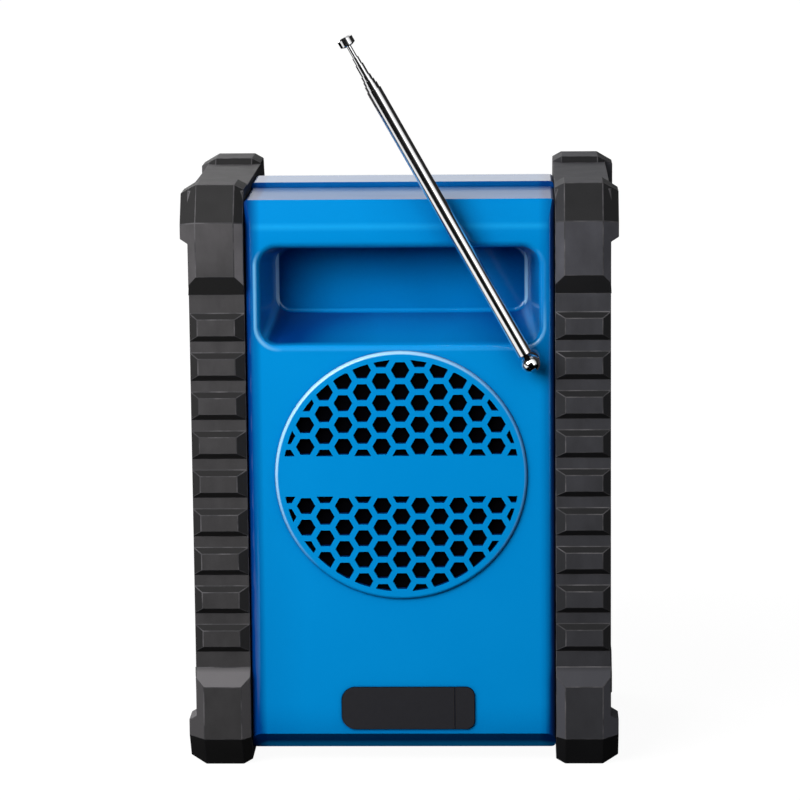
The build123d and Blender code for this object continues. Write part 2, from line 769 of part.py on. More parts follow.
def driver(centre, face, inward, flange_r, cone_r, flange_thick, deep, magnet_r, magnet_thick,
           screw_circle, glue):
    """Loudspeaker as (basket, surround, cone with coil former, dust cap, magnet)."""
    neck_r = 0.3 * cone_r
    coil_r = neck_r - 1.5
    back_r = 0.6 * cone_r
    roll_r = 0.86 * cone_r
    skin = 0.8
    cone_top = 0.3
    cone_low = 0.65 * deep
    cap_r = coil_r + skin
    cap_rise = 0.35 * cap_r

    def piece(points):
        return turned(centre, [(radius, face + inward * along) for radius, along in points])

    basket = piece([
        (cone_r + 0.3, 0), (flange_r, 0), (flange_r, flange_thick), (cone_r + 1.5, flange_thick),
        (back_r, deep), (neck_r, deep), (neck_r, deep - flange_thick),
        (back_r - 1, deep - flange_thick), (cone_r + 0.3, flange_thick),
    ])
    basket -= [disc(place, small_screw_r + screw_fit, *sorted((face, face + inward * flange_thick)))
               for place in around(centre, screw_circle, driver_screw_angles)]
    surround = piece([
        (roll_r, skin - cone_top), (roll_r, -cone_top), (roll_r + 1, -2.2), (cone_r - 1, -2.2),
        (cone_r, -skin), (cone_r + 0.8, -skin), (cone_r + 0.8, 0), (cone_r - 0.6, 0),
        (cone_r - 1.4, -1.4), (roll_r + 1.4, -1.4),
    ])
    cone = piece([
        (roll_r - glue, cone_top), (coil_r, cone_low), (coil_r, deep + 4), (coil_r + 0.4, deep + 4),
        (coil_r + 0.4, cone_low + skin), (roll_r - glue, cone_top + skin),
    ])
    cap_low = cone_low - (cap_r - coil_r) * (cone_low - cone_top) / (roll_r - coil_r)
    cap = piece([
        (0, cap_low - cap_rise), (0.6 * cap_r, cap_low - 0.75 * cap_rise), (cap_r, cap_low - glue),
        (cap_r - skin, cap_low - glue), (0.6 * cap_r - 0.2, cap_low - 0.75 * cap_rise + skin),
        (0, cap_low - cap_rise + skin),
    ])
    magnet = piece([
        (neck_r, deep), (magnet_r, deep), (magnet_r, deep + magnet_thick), (0, deep + magnet_thick),
        (0, deep), (coil_r - 0.5, deep), (coil_r - 0.5, deep + 5), (neck_r, deep + 5),
    ])
    return basket, surround, cone, cap, magnet


def screw(centre, face, inward, head, shank_r, length):
    """Cheese-head screw: head on the face's outer side, shank pointing inwards."""
    head_r, head_high = head
    top = face - inward * head_high
    end = face + inward * length
    return turned(centre, [(0, top), (head_r, top), (head_r, face), (shank_r, face), (shank_r, end),
                           (0, end)])


def front_grille():
    """Louvred grille of the stereo speakers, with a rib down the middle."""
    depths = (grille_floor, front_depth + grille_proud)
    grille = slab((-grille_half, grille_half), depths, grille_heights, grille_corner)
    grille = fillet(grille.faces().sort_by(Axis.Y)[0].outer_wire().edges(), 1.0)
    middle = (grille_heights[0] + grille_heights[1]) / 2
    length = grille_half - slot_margin - slot_rib / 2
    slots = Sketch()
    for step in range(slot_count):
        height = middle + (step - (slot_count - 1) / 2) * slot_pitch
        slots += [Pos(side * (slot_rib + length) / 2, height) * SlotOverall(length, slot_high)
                  for side in (-1, 1)]
    return grille - extrude(wall_plane(grille_floor - 1) * slots, amount=grille_thick + 2)


# ---------------------------------------------------------------- ports

def port_flap():
    """Rubber flap with a frame-shaped plug on its inner side."""
    outer = back_depth - flap_proud
    inner = outer + flap_thick
    keep_xs = (hinge_x + hinge_slit, flap_xs[1] + 1)
    heights = (port_height - flap_high, port_height + flap_high)
    flap = flap_outline(0, outer, inner) & slab(keep_xs, (outer, inner), heights)
    plug_xs = (port_xs[0] + flap_gap, port_xs[1] - plug_far_gap)
    plug_heights = (port_heights[0] + flap_gap, port_heights[1] - flap_gap)
    plug = slab(plug_xs, (inner - 0.5, inner + plug_deep), plug_heights, port_corner)
    plug -= slab((plug_xs[0] + plug_wall, plug_xs[1] - plug_wall), (inner, inner + plug_deep),
                 (plug_heights[0] + plug_wall, plug_heights[1] - plug_wall))
    return flap + plug


def port_flap_anchor():
    outer = back_depth - flap_proud
    inner = outer + flap_thick
    heights = (port_height - flap_high, port_height + flap_high)
    anchor = flap_outline(0, outer, inner)
    anchor &= slab((flap_xs[0] - 1, hinge_x - hinge_slit), (outer, inner), heights)
    return anchor + disc((anchor_pin_x, port_height), anchor_pin_r, outer + 1, inside_back + 1.5)


def jack(x, collar_r, bore_r):
    """Round socket: collar in the recess's wall, square body behind it."""
    centre = (x, port_height)
    half = (jack_body[0] / 2, jack_body[1] / 2)
    body = slab((x - half[0], x + half[0]), (jack_wall_end, jack_board_depth),
                (port_height - half[1], port_height + half[1]))
    body += disc(centre, collar_r, port_floor, jack_wall_end + 1)
    return body - disc(centre, bore_r, 0, port_floor + jack_bore_deep)


def dc_jack():
    pin = disc((dc_x, port_height), dc_pin_r, port_floor + 1, port_floor + jack_bore_deep + 0.5)
    return jack(dc_x, dc_collar_r, dc_bore_r) + pin


def usb_port():
    shell = usb_block(0, port_floor, jack_board_depth)
    shell -= usb_block(-usb_shell, 0, port_floor + jack_bore_deep)
    wide, thick = usb_tongue
    tongue = slab((usb_x - wide / 2, usb_x + wide / 2), (port_floor + 1, jack_board_depth),
                  (port_height, port_height + thick))
    return shell + tongue


def jack_board():
    xs = (jack_post_xs[0] - jack_board_margin, jack_post_xs[1] + jack_board_margin)
    heights = (port_height - jack_board_margin - 3, port_height + jack_board_margin + 3)
    board = slab(xs, (jack_board_depth, jack_board_depth + board_thick), heights)
    return board - [disc((x, port_height), small_screw_r + screw_fit, 0, ring_depth)
                    for x in jack_post_xs]


# ---------------------------------------------------------------- control panel

def control_panel():
    """Dark plate with the display's window, key holes and posts for the board."""
    panel = panel_block(panel_size, 0, -panel_thick, panel_corner)
    lens_hole = (display_size[0] + 2 * seat_gap, display_size[1] + 2 * seat_gap)
    panel -= panel_block(lens_hole, 1, -lens_thick, at=display_at)
    window = (display_size[0] - 2 * lens_ledge, display_size[1] - 2 * lens_ledge)
    panel -= panel_block(window, 1, -panel_thick - 1, at=display_at)
    key_hole = (key_size[0] + 2 * button_gap, key_size[1] + 2 * button_gap)
    for x in key_places.values():
        panel -= panel_block(key_hole, 1, -panel_thick - 1, key_corner + button_gap, (x, key_row))
    panel -= panel_disc((power_x, key_row), power_r + button_gap, 1, -panel_thick - 1)
    panel -= panel_disc(knob_at, encoder_bush_r + screw_fit, 1, -panel_thick - 1)
    for place in panel_posts:
        post = panel_disc(place, panel_post_r, -panel_thick + 0.5, -board_drop)
        panel += post - panel_disc(place, small_screw_r, small_screw_bite - board_drop, -board_drop - 1)
    return panel


def panel_disc(at, radius, top, bottom):
    return panel_plane.location * Pos(at[0], at[1], bottom) * extrude(Circle(radius), amount=top - bottom)


def button(outline, flange, at):
    """Push button: cap through the panel, flange under it, stem over its switch."""
    cap_low = -panel_thick - button_gap
    flange_low = cap_low - button_flange[1]
    stem_low = switch_top + button_travel + button_gap
    cap = Pos(0, 0, flange_low) * extrude(outline, amount=button_rise - flange_low)
    cap = fillet(cap.faces().sort_by(Axis.Z)[-1].edges(), 0.5)
    rim = Pos(0, 0, flange_low) * extrude(flange, amount=button_flange[1])
    stem = Pos(0, 0, stem_low) * extrude(Circle(button_stem_r), amount=flange_low - stem_low + 0.5)
    return panel_plane.location * Pos(at[0], at[1], 0) * (cap + rim + stem)


def control_board():
    board = panel_block(control_board_size, -board_drop, -board_drop - board_thick)
    return board - [panel_disc(place, small_screw_r + screw_fit, 0, -board_drop - board_thick - 1)
                    for place in panel_posts]


def encoder():
    """Rotary encoder: square body on the board, threaded bush through the panel."""
    side, high = encoder_body
    body = panel_block((side, side), high - board_drop, -board_drop, at=knob_at)
    body += panel_disc(knob_at, encoder_bush_r, encoder_bush_high, high - board_drop - 1)
    return body - panel_disc(knob_at, shaft_r + shaft_fit, encoder_bush_high + 1, shaft_low - button_gap)


def tuning_knob():
    """Fluted knob, hollow underneath over the encoder's nut."""
    knob = Circle(knob_r) - PolarLocations(knob_r + knob_flute_r / 2, knob_flutes) * Circle(knob_flute_r)
    body = extrude(knob, amount=knob_high)
    body = chamfer(body.faces().sort_by(Axis.Z)[-1].edges(), 0.8)
    nut_room = encoder_bush_high - knob_lift + button_gap
    body -= extrude(Circle(encoder_nut[0] / sqrt(3) + 0.6), amount=nut_room)
    body -= extrude(Circle(shaft_r + foot_gap), amount=shaft_high - knob_lift + button_gap)
    return panel_plane.location * Pos(knob_at[0], knob_at[1], knob_lift) * body


# ---------------------------------------------------------------- inside

def main_board():
    """Board with its tuner can, two filter capacitors and the amplifier's heat sink."""
    face = main_board_depth
    board = slab((-main_board_half, main_board_half), (face, face + board_thick), main_board_heights)
    board -= [disc(place, small_screw_r + screw_fit, 0, ring_depth) for place in main_posts]
    board += slab(tuner_xs, (face - tuner_high, face), tuner_heights)
    board += [disc((x, filter_height), filter_r, face - filter_high, face) for x in filter_xs]
    board += slab(sink_xs, (face - sink_high, face), sink_heights)
    slots = [slab((x, x + fin_slot), (0, face - fin_root), (0, ring_height))
             for x in range(sink_xs[0] + fin_slot, sink_xs[1] - fin_slot, 2 * fin_slot)]
    return board - [slot & slab(sink_xs, (0, face - fin_root), sink_heights) for slot in slots]


def battery_cells():
    centre_height = body_floor + wall + holder_wall + cell_r + 0.05
    first = battery_start + holder_wall + cell_gap + cell_r
    cells = []
    for step in range(cell_count):
        depth = first + step * (2 * cell_r + cell_gap)
        plane = Plane(origin=(-cell_length / 2, rear_y - depth, centre_height), z_dir=(1, 0, 0))
        cells.append(extrude(plane * Circle(cell_r), amount=cell_length))
    return cells


def battery_holder():
    """Open tray on the housing's floor."""
    floor = body_floor + wall
    half = cell_length / 2 + cell_gap
    depths = (battery_start, battery_start + holder_deep)
    tray = slab((-half - holder_wall, half + holder_wall), depths, (floor, floor + holder_high))
    return tray - slab((-half, half), (depths[0] + holder_wall, depths[1] - holder_wall),
                       (floor + holder_wall, floor + holder_high + 1))


# ---------------------------------------------------------------- antenna

def along_antenna(profile):
    """Solid turned about the antenna from (radius, distance from the pivot) points."""
    solid = revolve(Plane.XZ * make_face(Polyline(*profile, close=True)), axis=Axis.Z)
    return antenna_plane.location * solid


def antenna_swivel():
    """Slotted ball head on a stub that turns in the housing's bush."""
    ball = Sphere(head_r)
    groove_start = pivot_standoff + bush_end
    stub = Rot(90, 0, 0) * extrude(Circle(stub_r), amount=groove_start + clip_thick + stub_tail)
    groove = extrude(Circle(stub_r + 1) - Circle(stub_r - 0.8), amount=clip_thick + screw_fit)
    stub -= Rot(90, 0, 0) * Pos(0, 0, groove_start) * groove
    slot = Pos(0, (head_r - slot_floor) / 2 + 0.5, 0) * Box(slot_wide, head_r + slot_floor + 1, 3 * head_r)
    pin_hole = Rot(0, 90, 0) * Cylinder(pin_r + 0.01, 3 * head_r)
    return antenna_plane.location * ((ball + stub) - slot - pin_hole)


def antenna_tongue():
    """Flat eye in the ball's slot, ending in a plug in the main tube."""
    eye = Rot(0, 90, 0) * Cylinder(eye_r, eye_thick)
    bar = Pos(0, 0, tube_start / 2) * Box(eye_thick, tongue_wide, tube_start)
    plug_r = tube_r - tube_wall - foot_gap
    plug = Pos(0, 0, tube_start) * extrude(Circle(plug_r), amount=tongue_plug)
    hole = Rot(0, 90, 0) * Cylinder(pin_r + shaft_fit, 3 * eye_thick)
    return antenna_plane.location * (eye + bar + plug - hole)


def section_radius(index):
    return tube_r - index * (tube_wall + tube_gap)


def section_top(index):
    return tube_end + sum(section_steps[:index])


def antenna_section(index):
    """One tube: spring foot that slides in its parent, and a rolled-in mouth."""
    outer = section_radius(index)
    bore = outer - tube_wall
    top = section_top(index)
    start = tube_start + tongue_plug + foot_stagger * index if index else tube_start
    foot = outer + tube_gap - foot_gap if index else outer
    profile = [(foot, start), (foot, start + foot_high), (outer, start + foot_high), (outer, top)]
    if index == section_count - 1:
        profile += [(0, top), (0, start)]
    else:
        mouth = section_radius(index + 1) + foot_gap
        profile += [(mouth, top), (mouth, top - mouth_high), (bore, top - mouth_high), (bore, start)]
    if not index:
        profile = profile[:1] + profile[3:]
    return along_antenna(profile)


def antenna_tip():
    base = section_top(section_count - 1)
    rod = section_radius(section_count - 1)
    return along_antenna([
        (0, base), (rod + 0.8, base), (tip_r, base + 0.7), (tip_r, base + tip_high - 0.7),
        (tip_r - 0.9, base + tip_high), (0, base + tip_high),
    ])


def antenna_bush():
    return turned(pivot, [
        (stub_r + shaft_fit, back_depth), (bush_r, back_depth), (bush_r, bush_boss_end),
        (bush_flange[0], bush_boss_end), (bush_flange[0], bush_end), (stub_r + shaft_fit, bush_end),
    ])


def antenna_clip():
    start = bush_end + screw_fit / 2
    return disc(pivot, clip_r, start, start + clip_thick, bore=stub_r - 0.8 + foot_gap)


# ---------------------------------------------------------------- all sub-parts

right_ring = armour_ring()
save("bumper_right", right_ring)
save("bumper_left", mirror(right_ring, about=Plane.YZ))
save("rear_cover", rear_cover())
save("front_housing", front_housing())
save("housing_seal", housing_seal())

save("subwoofer_grille", subwoofer_grille())
save("grille_cloth", disc(sub_centre, sub_disc_r, cloth_depth, sub_seat_depth))
subwoofer = driver(sub_centre, sub_face_depth, 1, sub_flange_r, sub_cone_r, sub_flange_thick,
                   sub_basket_deep, sub_magnet_r, sub_magnet_thick, sub_screw_r, glue_gap)
driver_names = ("basket", "surround", "cone", "dust_cap", "magnet")
for name, piece in zip(driver_names, subwoofer):
    save(f"subwoofer_{name}", piece)
speaker_screws = [screw(place, sub_face_depth + sub_flange_thick, -1, small_head,
                        small_screw_r - screw_fit, sub_flange_thick + small_screw_bite - screw_fit)
                  for place in around(sub_centre, sub_screw_r, driver_screw_angles)]
for side, hand in ((-1, "left"), (1, "right")):
    centre = (side * speaker_x, speaker_height)
    pieces = driver(centre, baffle_back, -1, speaker_flange_r, speaker_cone_r, speaker_flange_thick,
                    speaker_basket_deep, speaker_magnet_r, speaker_magnet_thick, speaker_screw_r,
                    -glue_gap)
    basket, surround, cone, cap, magnet = pieces
    save(f"speaker_basket_{hand}", basket)
    save(f"speaker_cone_{hand}", surround + cone + cap)
    save(f"speaker_magnet_{hand}", magnet)
    speaker_screws += [screw(place, baffle_back - speaker_flange_thick, 1, small_head,
                             small_screw_r - screw_fit,
                             speaker_flange_thick + small_screw_bite - screw_fit)
                       for place in around(centre, speaker_screw_r, driver_screw_angles)]
save("speaker_screws", *speaker_screws)
save("front_grille", front_grille())

save("port_flap", port_flap())
save("port_flap_anchor", port_flap_anchor())
save("dc_jack", dc_jack())
save("aux_jack", jack(aux_x, aux_collar_r, aux_bore_r))
save("usb_port", usb_port())
save("jack_board", jack_board())

save("control_panel", control_panel())
save("display_lens", panel_block(display_size, 0, -lens_thick, at=display_at))
save("display_module", panel_block((display_size[0] - 1, display_size[1] - 1), -panel_thick,
                                   -panel_thick - display_module_thick, at=display_at))
flange_size = (key_size[0] + 2 * button_flange[0], key_size[1] + 2 * button_flange[0])
for name, x in key_places.items():
    save(name, button(RectangleRounded(*key_size, key_corner), Rectangle(*flange_size), (x, key_row)))
save("power_button", button(Circle(power_r), Circle(power_r + button_flange[0]), (power_x, key_row)))
switch_xs = [*key_places.values(), power_x]
save("button_switches", *[panel_block((switch_size[0], switch_size[0]), switch_top, -board_drop,
                                      at=(x, key_row)) for x in switch_xs])
save("control_board", control_board())
save("tuning_encoder", encoder())
save("encoder_shaft", panel_disc(knob_at, shaft_r, shaft_high, shaft_low))
nut = RegularPolygon(encoder_nut[0] / 2, 6, major_radius=False) - Circle(encoder_bush_r + foot_gap)
save("encoder_nut", panel_plane.location * Pos(*knob_at, 0) * extrude(nut, amount=encoder_nut[1]))
save("tuning_knob", tuning_knob())

save("main_board", main_board())
save("battery_cells", *battery_cells())
save("battery_holder", battery_holder())

housing_screw_length = cover_rim - screw_seat_depth + seal_thick + screw_grip - 1
save("housing_screws", *[screw(place, screw_seat_depth, 1, (screw_head_r, screw_head_high),
                               screw_r - screw_fit, housing_screw_length) for place in screw_places])
board_bite = board_thick + small_screw_bite - screw_fit
board_screws = [screw(place, main_board_depth, 1, small_head, small_screw_r - screw_fit, board_bite)
                for place in main_posts]
board_screws += [screw((x, port_height), jack_board_depth + board_thick, -1, small_head,
                       small_screw_r - screw_fit, board_bite) for x in jack_post_xs]
save("board_screws", *board_screws)

save("antenna_bush", antenna_bush())
save("antenna_swivel", antenna_swivel())
save("antenna_clip", antenna_clip())
pin_length = 2 * head_r - 0.6
save("antenna_pin", antenna_plane.location * Rot(0, 90, 0) * Cylinder(pin_r, pin_length))
save("antenna_tongue", antenna_tongue())
for index in range(section_count):
    save(f"antenna_section_{index + 1}", antenna_section(index))
save("antenna_tip", antenna_tip())
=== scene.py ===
"""Looks of a jobsite radio: blue moulded housing, rubber armour rings, subwoofer, ports,
control panel and rod antenna. Metres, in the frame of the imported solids: +Z up, the back
with the subwoofer faces +Y, the controls face -Y. Left and right are as seen from the
front, so that right is +X.
"""

from math import cos, pi, prod, radians, sin, sqrt

import bmesh
import bpy
from mathutils import Matrix, Vector


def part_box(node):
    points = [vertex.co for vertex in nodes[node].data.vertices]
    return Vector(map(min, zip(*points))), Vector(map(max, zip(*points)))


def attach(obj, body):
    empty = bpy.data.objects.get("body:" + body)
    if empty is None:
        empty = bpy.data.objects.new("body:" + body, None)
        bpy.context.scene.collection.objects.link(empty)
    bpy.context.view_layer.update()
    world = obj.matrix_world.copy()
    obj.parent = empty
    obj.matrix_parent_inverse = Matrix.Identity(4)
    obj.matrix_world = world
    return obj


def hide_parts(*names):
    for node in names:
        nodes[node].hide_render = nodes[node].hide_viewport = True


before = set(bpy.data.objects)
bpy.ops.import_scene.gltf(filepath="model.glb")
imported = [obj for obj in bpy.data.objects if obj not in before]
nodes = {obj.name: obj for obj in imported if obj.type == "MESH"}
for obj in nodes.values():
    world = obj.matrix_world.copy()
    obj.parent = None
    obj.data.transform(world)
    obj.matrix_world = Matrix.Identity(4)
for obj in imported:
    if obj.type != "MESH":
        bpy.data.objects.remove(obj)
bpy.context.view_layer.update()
collection = bpy.context.scene.collection
mm = 0.001

# ------------------------------------------------------------------- camera
# A long lens behind the radio, to the side of its middle and a little above it. It looks at
# the back with the subwoofer, and is set by its heading, its dip and a slight roll.

rear_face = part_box("bumper_left")[1].y
camera_place = Vector((-55.613 * mm, rear_face + 1660.94 * mm, 465.473 * mm))
camera_heading = -178.0785
camera_dip = 9.8925
camera_roll = -0.554
camera_lens = 164.997
camera_near = 0.1

camera = bpy.data.objects.new("camera", bpy.data.cameras.new("camera"))
camera.data.lens = camera_lens
camera.data.clip_start = camera_near
camera.matrix_world = (Matrix.Translation(camera_place)
                       @ Matrix.Rotation(radians(camera_heading), 4, "Z")
                       @ Matrix.Rotation(radians(90 - camera_dip), 4, "X")
                       @ Matrix.Rotation(radians(camera_roll), 4, "Z"))
collection.objects.link(camera)
bpy.context.scene.camera = camera

# ------------------------------------------------------------------- housing
# Two shells of ABS, injection moulded in one blue, with a fine spark-eroded grain. The
# back shell holds the hand recess, the subwoofer's seat and the ports.

smooth_turn = 28.0                    # degrees between facets that stand for one curve
flat_turn = 0.3                       # and between facets of one flat face
sharp_turn = 40.0                     # and at an edge that can be rounded
weld_reach = 0.002 * mm
plane_reach = 0.05 * mm
nowhere = 10.0                        # a plane in which no edge lies
round_segments = 4


class Signal:
    """A socket in an expression: sums and products with signals or numbers add Math nodes."""

    def __init__(self, graph, socket):
        self.graph = graph
        self.socket = socket

    def maths(self, operation, *others):
        return self.graph.node("ShaderNodeMath", {"operation": operation}, (self, *others))

    def __add__(self, other):
        return self.maths("ADD", other)

    def __sub__(self, other):
        return self.maths("SUBTRACT", other)

    def __rsub__(self, other):
        return self.graph.node("ShaderNodeMath", {"operation": "SUBTRACT"}, (other, self))

    def __mul__(self, other):
        return self.maths("MULTIPLY", other)

    def __truediv__(self, other):
        return self.maths("DIVIDE", other)

    def magnitude(self):
        return self.maths("ABSOLUTE")

    def toward(self, share, value):
        """This signal where the share is 0, the value where it is 1."""
        return self + (value - self) * share

    def between(self, low, high):
        """Low where this signal is 0, high where it is 1."""
        return self * (high - low) + low

    __radd__ = __add__
    __rmul__ = __mul__


class Graph:
    """A node tree under construction, of a finish, a shape or the world."""

    def __init__(self, tree):
        self.tree = tree

    def node(self, kind, settings=None, values=(), outlet=0):
        """A node of that kind: settings first, then the values or links of its sockets."""
        made = self.tree.nodes.new(kind)
        for name, value in (settings or {}).items():
            setattr(made, name, value)
        named = values.items() if isinstance(values, dict) else enumerate(values)
        for key, value in named:
            self.feed(made.inputs[key], value)
        return Signal(self, made.outputs[outlet])

    def feed(self, socket, value):
        if isinstance(value, Signal):
            self.tree.links.new(value.socket, socket)
        else:
            socket.default_value = value

    def parts(self, vector):
        """The three parts of a vector."""
        first = self.node("ShaderNodeSeparateXYZ", None, (vector,))
        return [Signal(self, outlet) for outlet in first.socket.node.outputs]

    def where(self, *fades):
        """1 where each signal has passed its second number, 0 where one is short of its
        first."""
        shares = [self.node("ShaderNodeMapRange", None,
                            {"Value": signal, "From Min": start, "From Max": full})
                  for signal, start, full in fades]
        return prod(shares[1:], start=shares[0])

    def rays(self):
        """Whether the camera looks at the surface, and whether a reflection does."""
        path = self.tree.nodes.new("ShaderNodeLightPath")
        return [Signal(self, path.outputs[kind]) for kind in ("Is Camera Ray", "Is Glossy Ray")]


class Finish(Graph):
    """A material made of nodes on one Principled shader."""

    def __init__(self, name, **sockets):
        self.material = bpy.data.materials.new(name)
        self.material.use_nodes = True
        super().__init__(self.material.node_tree)
        self.shader = self.tree.nodes["Principled BSDF"]
        self.put(**sockets)
        self.place = self.node("ShaderNodeTexCoord", outlet="Object")

    def put(self, **sockets):
        for socket, value in sockets.items():
            self.feed(self.shader.inputs[socket.replace("_", " ")], value)

    def facing(self):
        """The three parts of the direction that the surface faces."""
        return self.parts(self.node("ShaderNodeTexCoord", outlet="Normal"))

    def noise(self, size, detail=3.0, rough=0.5, stretch=(1.0, 1.0, 1.0)):
        """Noise from 0 to 1 whose blotches are about that many metres across."""
        place = self.node("ShaderNodeMapping", None,
                          {"Vector": self.place, "Scale": [share / size for share in stretch]})
        return self.node("ShaderNodeTexNoise", None,
                         {"Vector": place, "Scale": 1.0, "Detail": detail, "Roughness": rough})

    def mix(self, share, first, second):
        return self.node("ShaderNodeMix", {"data_type": "RGBA"},
                         {0: share, 6: first, 7: second}, outlet=2)

    def bump(self, height, depth):
        """Normal of a relief that many metres deep."""
        return self.node("ShaderNodeBump", None,
                         {"Height": height, "Distance": depth, "Strength": 1.0})


class Shape(Graph):
    """A Geometry Nodes tree with named sizes, run once on a mesh to give a plain mesh."""

    def __init__(self, name, **sizes):
        super().__init__(bpy.data.node_groups.new(name, "GeometryNodeTree"))
        self.sizes = sizes
        self.sockets = {}
        for way in ("OUTPUT", "INPUT"):
            self.tree.interface.new_socket("Geometry", in_out=way,
                                           socket_type="NodeSocketGeometry")
        for size, value in sizes.items():
            kind = "NodeSocketInt" if isinstance(value, int) else "NodeSocketFloat"
            self.sockets[size] = self.tree.interface.new_socket(size, in_out="INPUT",
                                                                socket_type=kind)
        self.inlet = self.tree.nodes.new("NodeGroupInput")
        self.outlet = self.tree.nodes.new("NodeGroupOutput")
        self.start = Signal(self, self.inlet.outputs["Geometry"])

    def size(self, name):
        return Signal(self, self.inlet.outputs[name])

    def finish(self, geometry, material):
        whole = self.node("GeometryNodeRealizeInstances", None, (geometry,))
        dressed = self.node("GeometryNodeSetMaterial", None,
                            {"Geometry": whole, "Material": material})
        self.feed(self.outlet.inputs[0], dressed)

    def put_on(self, piece, **changes):
        """Puts the tree on the piece as a modifier, with some of its sizes changed."""
        modifier = piece.modifiers.new("shape", "NODES")
        modifier.node_group = self.tree
        for size, value in {**self.sizes, **changes}.items():
            modifier[self.sockets[size].identifier] = value


def bake(piece):
    """Turns the piece with its modifiers into a plain mesh."""
    graph = bpy.context.evaluated_depsgraph_get()
    graph.update()
    mesh = bpy.data.meshes.new_from_object(piece.evaluated_get(graph))
    piece.modifiers.clear()
    piece.data = mesh


def soft_shading():
    """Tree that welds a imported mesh, shades its gentle turns smooth and marks the edges that
    lie in one upright plane, to be rounded."""
    shape = Shape("soft_shading", weld=weld_reach, gentle=radians(smooth_turn), plane=nowhere,
                  width=1.0)
    welded = shape.node("GeometryNodeMergeByDistance", None,
                        {"Geometry": shape.start, "Distance": shape.size("weld")})
    angle = shape.node("GeometryNodeInputMeshEdgeAngle")
    turn = shape.node("FunctionNodeCompare", {"operation": "LESS_THAN"},
                      {0: angle, 1: shape.size("gentle")})
    smooth = shape.node("GeometryNodeSetShadeSmooth", {"domain": "FACE"}, {0: welded, 2: True})
    edges = shape.node("GeometryNodeSetShadeSmooth", {"domain": "EDGE"}, {0: smooth, 2: turn})
    across, ahead, _ = shape.parts(shape.node("GeometryNodeInputPosition"))
    off_plane = (ahead - shape.size("plane")).magnitude()
    marked = (off_plane.maths("LESS_THAN", plane_reach)
              * across.magnitude().maths("LESS_THAN", shape.size("width"))
              * angle.maths("GREATER_THAN", radians(sharp_turn)))
    stored = shape.node("GeometryNodeStoreNamedAttribute",
                        {"data_type": "FLOAT", "domain": "EDGE"},
                        {"Geometry": edges, "Name": "bevel_weight_edge", "Value": marked})
    shape.feed(shape.outlet.inputs[0], stored)
    return shape


soft = soft_shading()


def dissolve(piece, angle):
    """Joins the facets of flat faces."""
    flats = piece.modifiers.new("flats", "DECIMATE")
    flats.decimate_type = "DISSOLVE"
    flats.angle_limit = radians(angle)


def round_off(piece, radius, segments, **settings):
    bevel = piece.modifiers.new("bevel", "BEVEL")
    bevel.width = radius
    bevel.segments = segments
    for name, value in settings.items():
        setattr(bevel, name, value)


def soften(piece, gentle=smooth_turn, rounding=None):
    """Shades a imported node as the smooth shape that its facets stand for."""
    if rounding:
        plane, width, radius = rounding
        soft.put_on(piece, gentle=radians(gentle), plane=plane, width=width)
        dissolve(piece, flat_turn)
        round_off(piece, radius, round_segments, limit_method="WEIGHT")
    else:
        soft.put_on(piece, gentle=radians(gentle))
    piece.modifiers.new("weights", "WEIGHTED_NORMAL").keep_sharp = True


def dress(finish, *names, **shading):
    """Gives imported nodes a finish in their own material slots."""
    for name in names:
        node = nodes[name]
        for place in range(len(node.data.materials)):
            node.data.materials[place] = finish.material
        soften(node, **shading)


# The blue, its paler clouds that also carry a painted highlight, its painted shade, its painted
# highlights and the tint of its gloss.
blue = (0.0, 0.262, 0.679, 1.0)
blue_cloud_and_highlight = (0.01, 0.40, 0.86, 1.0)
blue_painted_shade = (0.0, 0.035, 0.2, 1.0)
blue_lip_highlight = (0.2, 0.55, 0.9, 1.0)
blue_highlight = (0.5, 0.8, 1.0, 1.0)
blue_gloss = (0.0, 0.4, 0.8, 1.0)
blue_roughness = 0.37
blue_haze = 0.1                       # roughness added by the clouds
cloud_size = 30 * mm
cloud_wear = 0.12
grain_size = 0.7 * mm
grain_depth = 0.01 * mm
coat_weight = 0.65
coat_roughness = 0.12
roof_coat = 0.15                      # more coat on the top
rear_roof_coat = 0.5                  # less of it on the back shell's part of the top
# Painted shade on the top.
roof_shade = 0.5
corner_reach = 32 * mm                # how far an inner corner's shade spreads
corner_samples = 8
# Painted shade on the walls of the grille's holes.
hole_shade = 0.8

recess_depth = 37.5 * mm
recess_half = (67.25 * mm, 25.5 * mm)
recess_middle = 223.4 * mm
recess_corner = 11.4 * mm
recess_back_half = 58.6 * mm
back_edge_round = 1.6 * mm
back_edge_past = 64 * mm              # half width within which that edge is rounded
# A painted highlight along the recess's outline: how far inside it lies, and its strength all
# round, on the right and on the left.
lip_inset = 0.7 * mm
lip_highlight_all = 0.06
lip_highlight_right = 0.75
lip_highlight_left = 0.4
# Painted highlight on the recess's upright back edges, on the left and on the right.
back_edge_highlight_share = (0.5, 1.0)          # left, right
# Painted shade on the recess's floor.
floor_shade = (0.34, 0.94)            # on the recess's floor: left and middle, right
# Painted shade beside the rings, low on the right, and toward the top.
side_shade_share = (0.5, 0.95)              # beside the rings: left, right
low_right_shade = 0.16
high_shade = 0.1
# A painted highlight along the crease: its height and its strength.
crease_height = 255.5 * mm
crease_highlight_share = 0.6

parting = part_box("rear_cover")[0].y   # where the two shells meet
grille_low, grille_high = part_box("subwoofer_grille")
grille_middle = (grille_low.z + grille_high.z) / 2
grille_radius = (grille_high.x - grille_low.x) / 2
# A painted highlight on the grille's rim: the way toward the light, its strength, and a weaker
# share on the left.
rim_toward_light = (0.62, 0.78)       # across and up
rim_highlight_share = 0.75
rim_highlight_left = 0.2

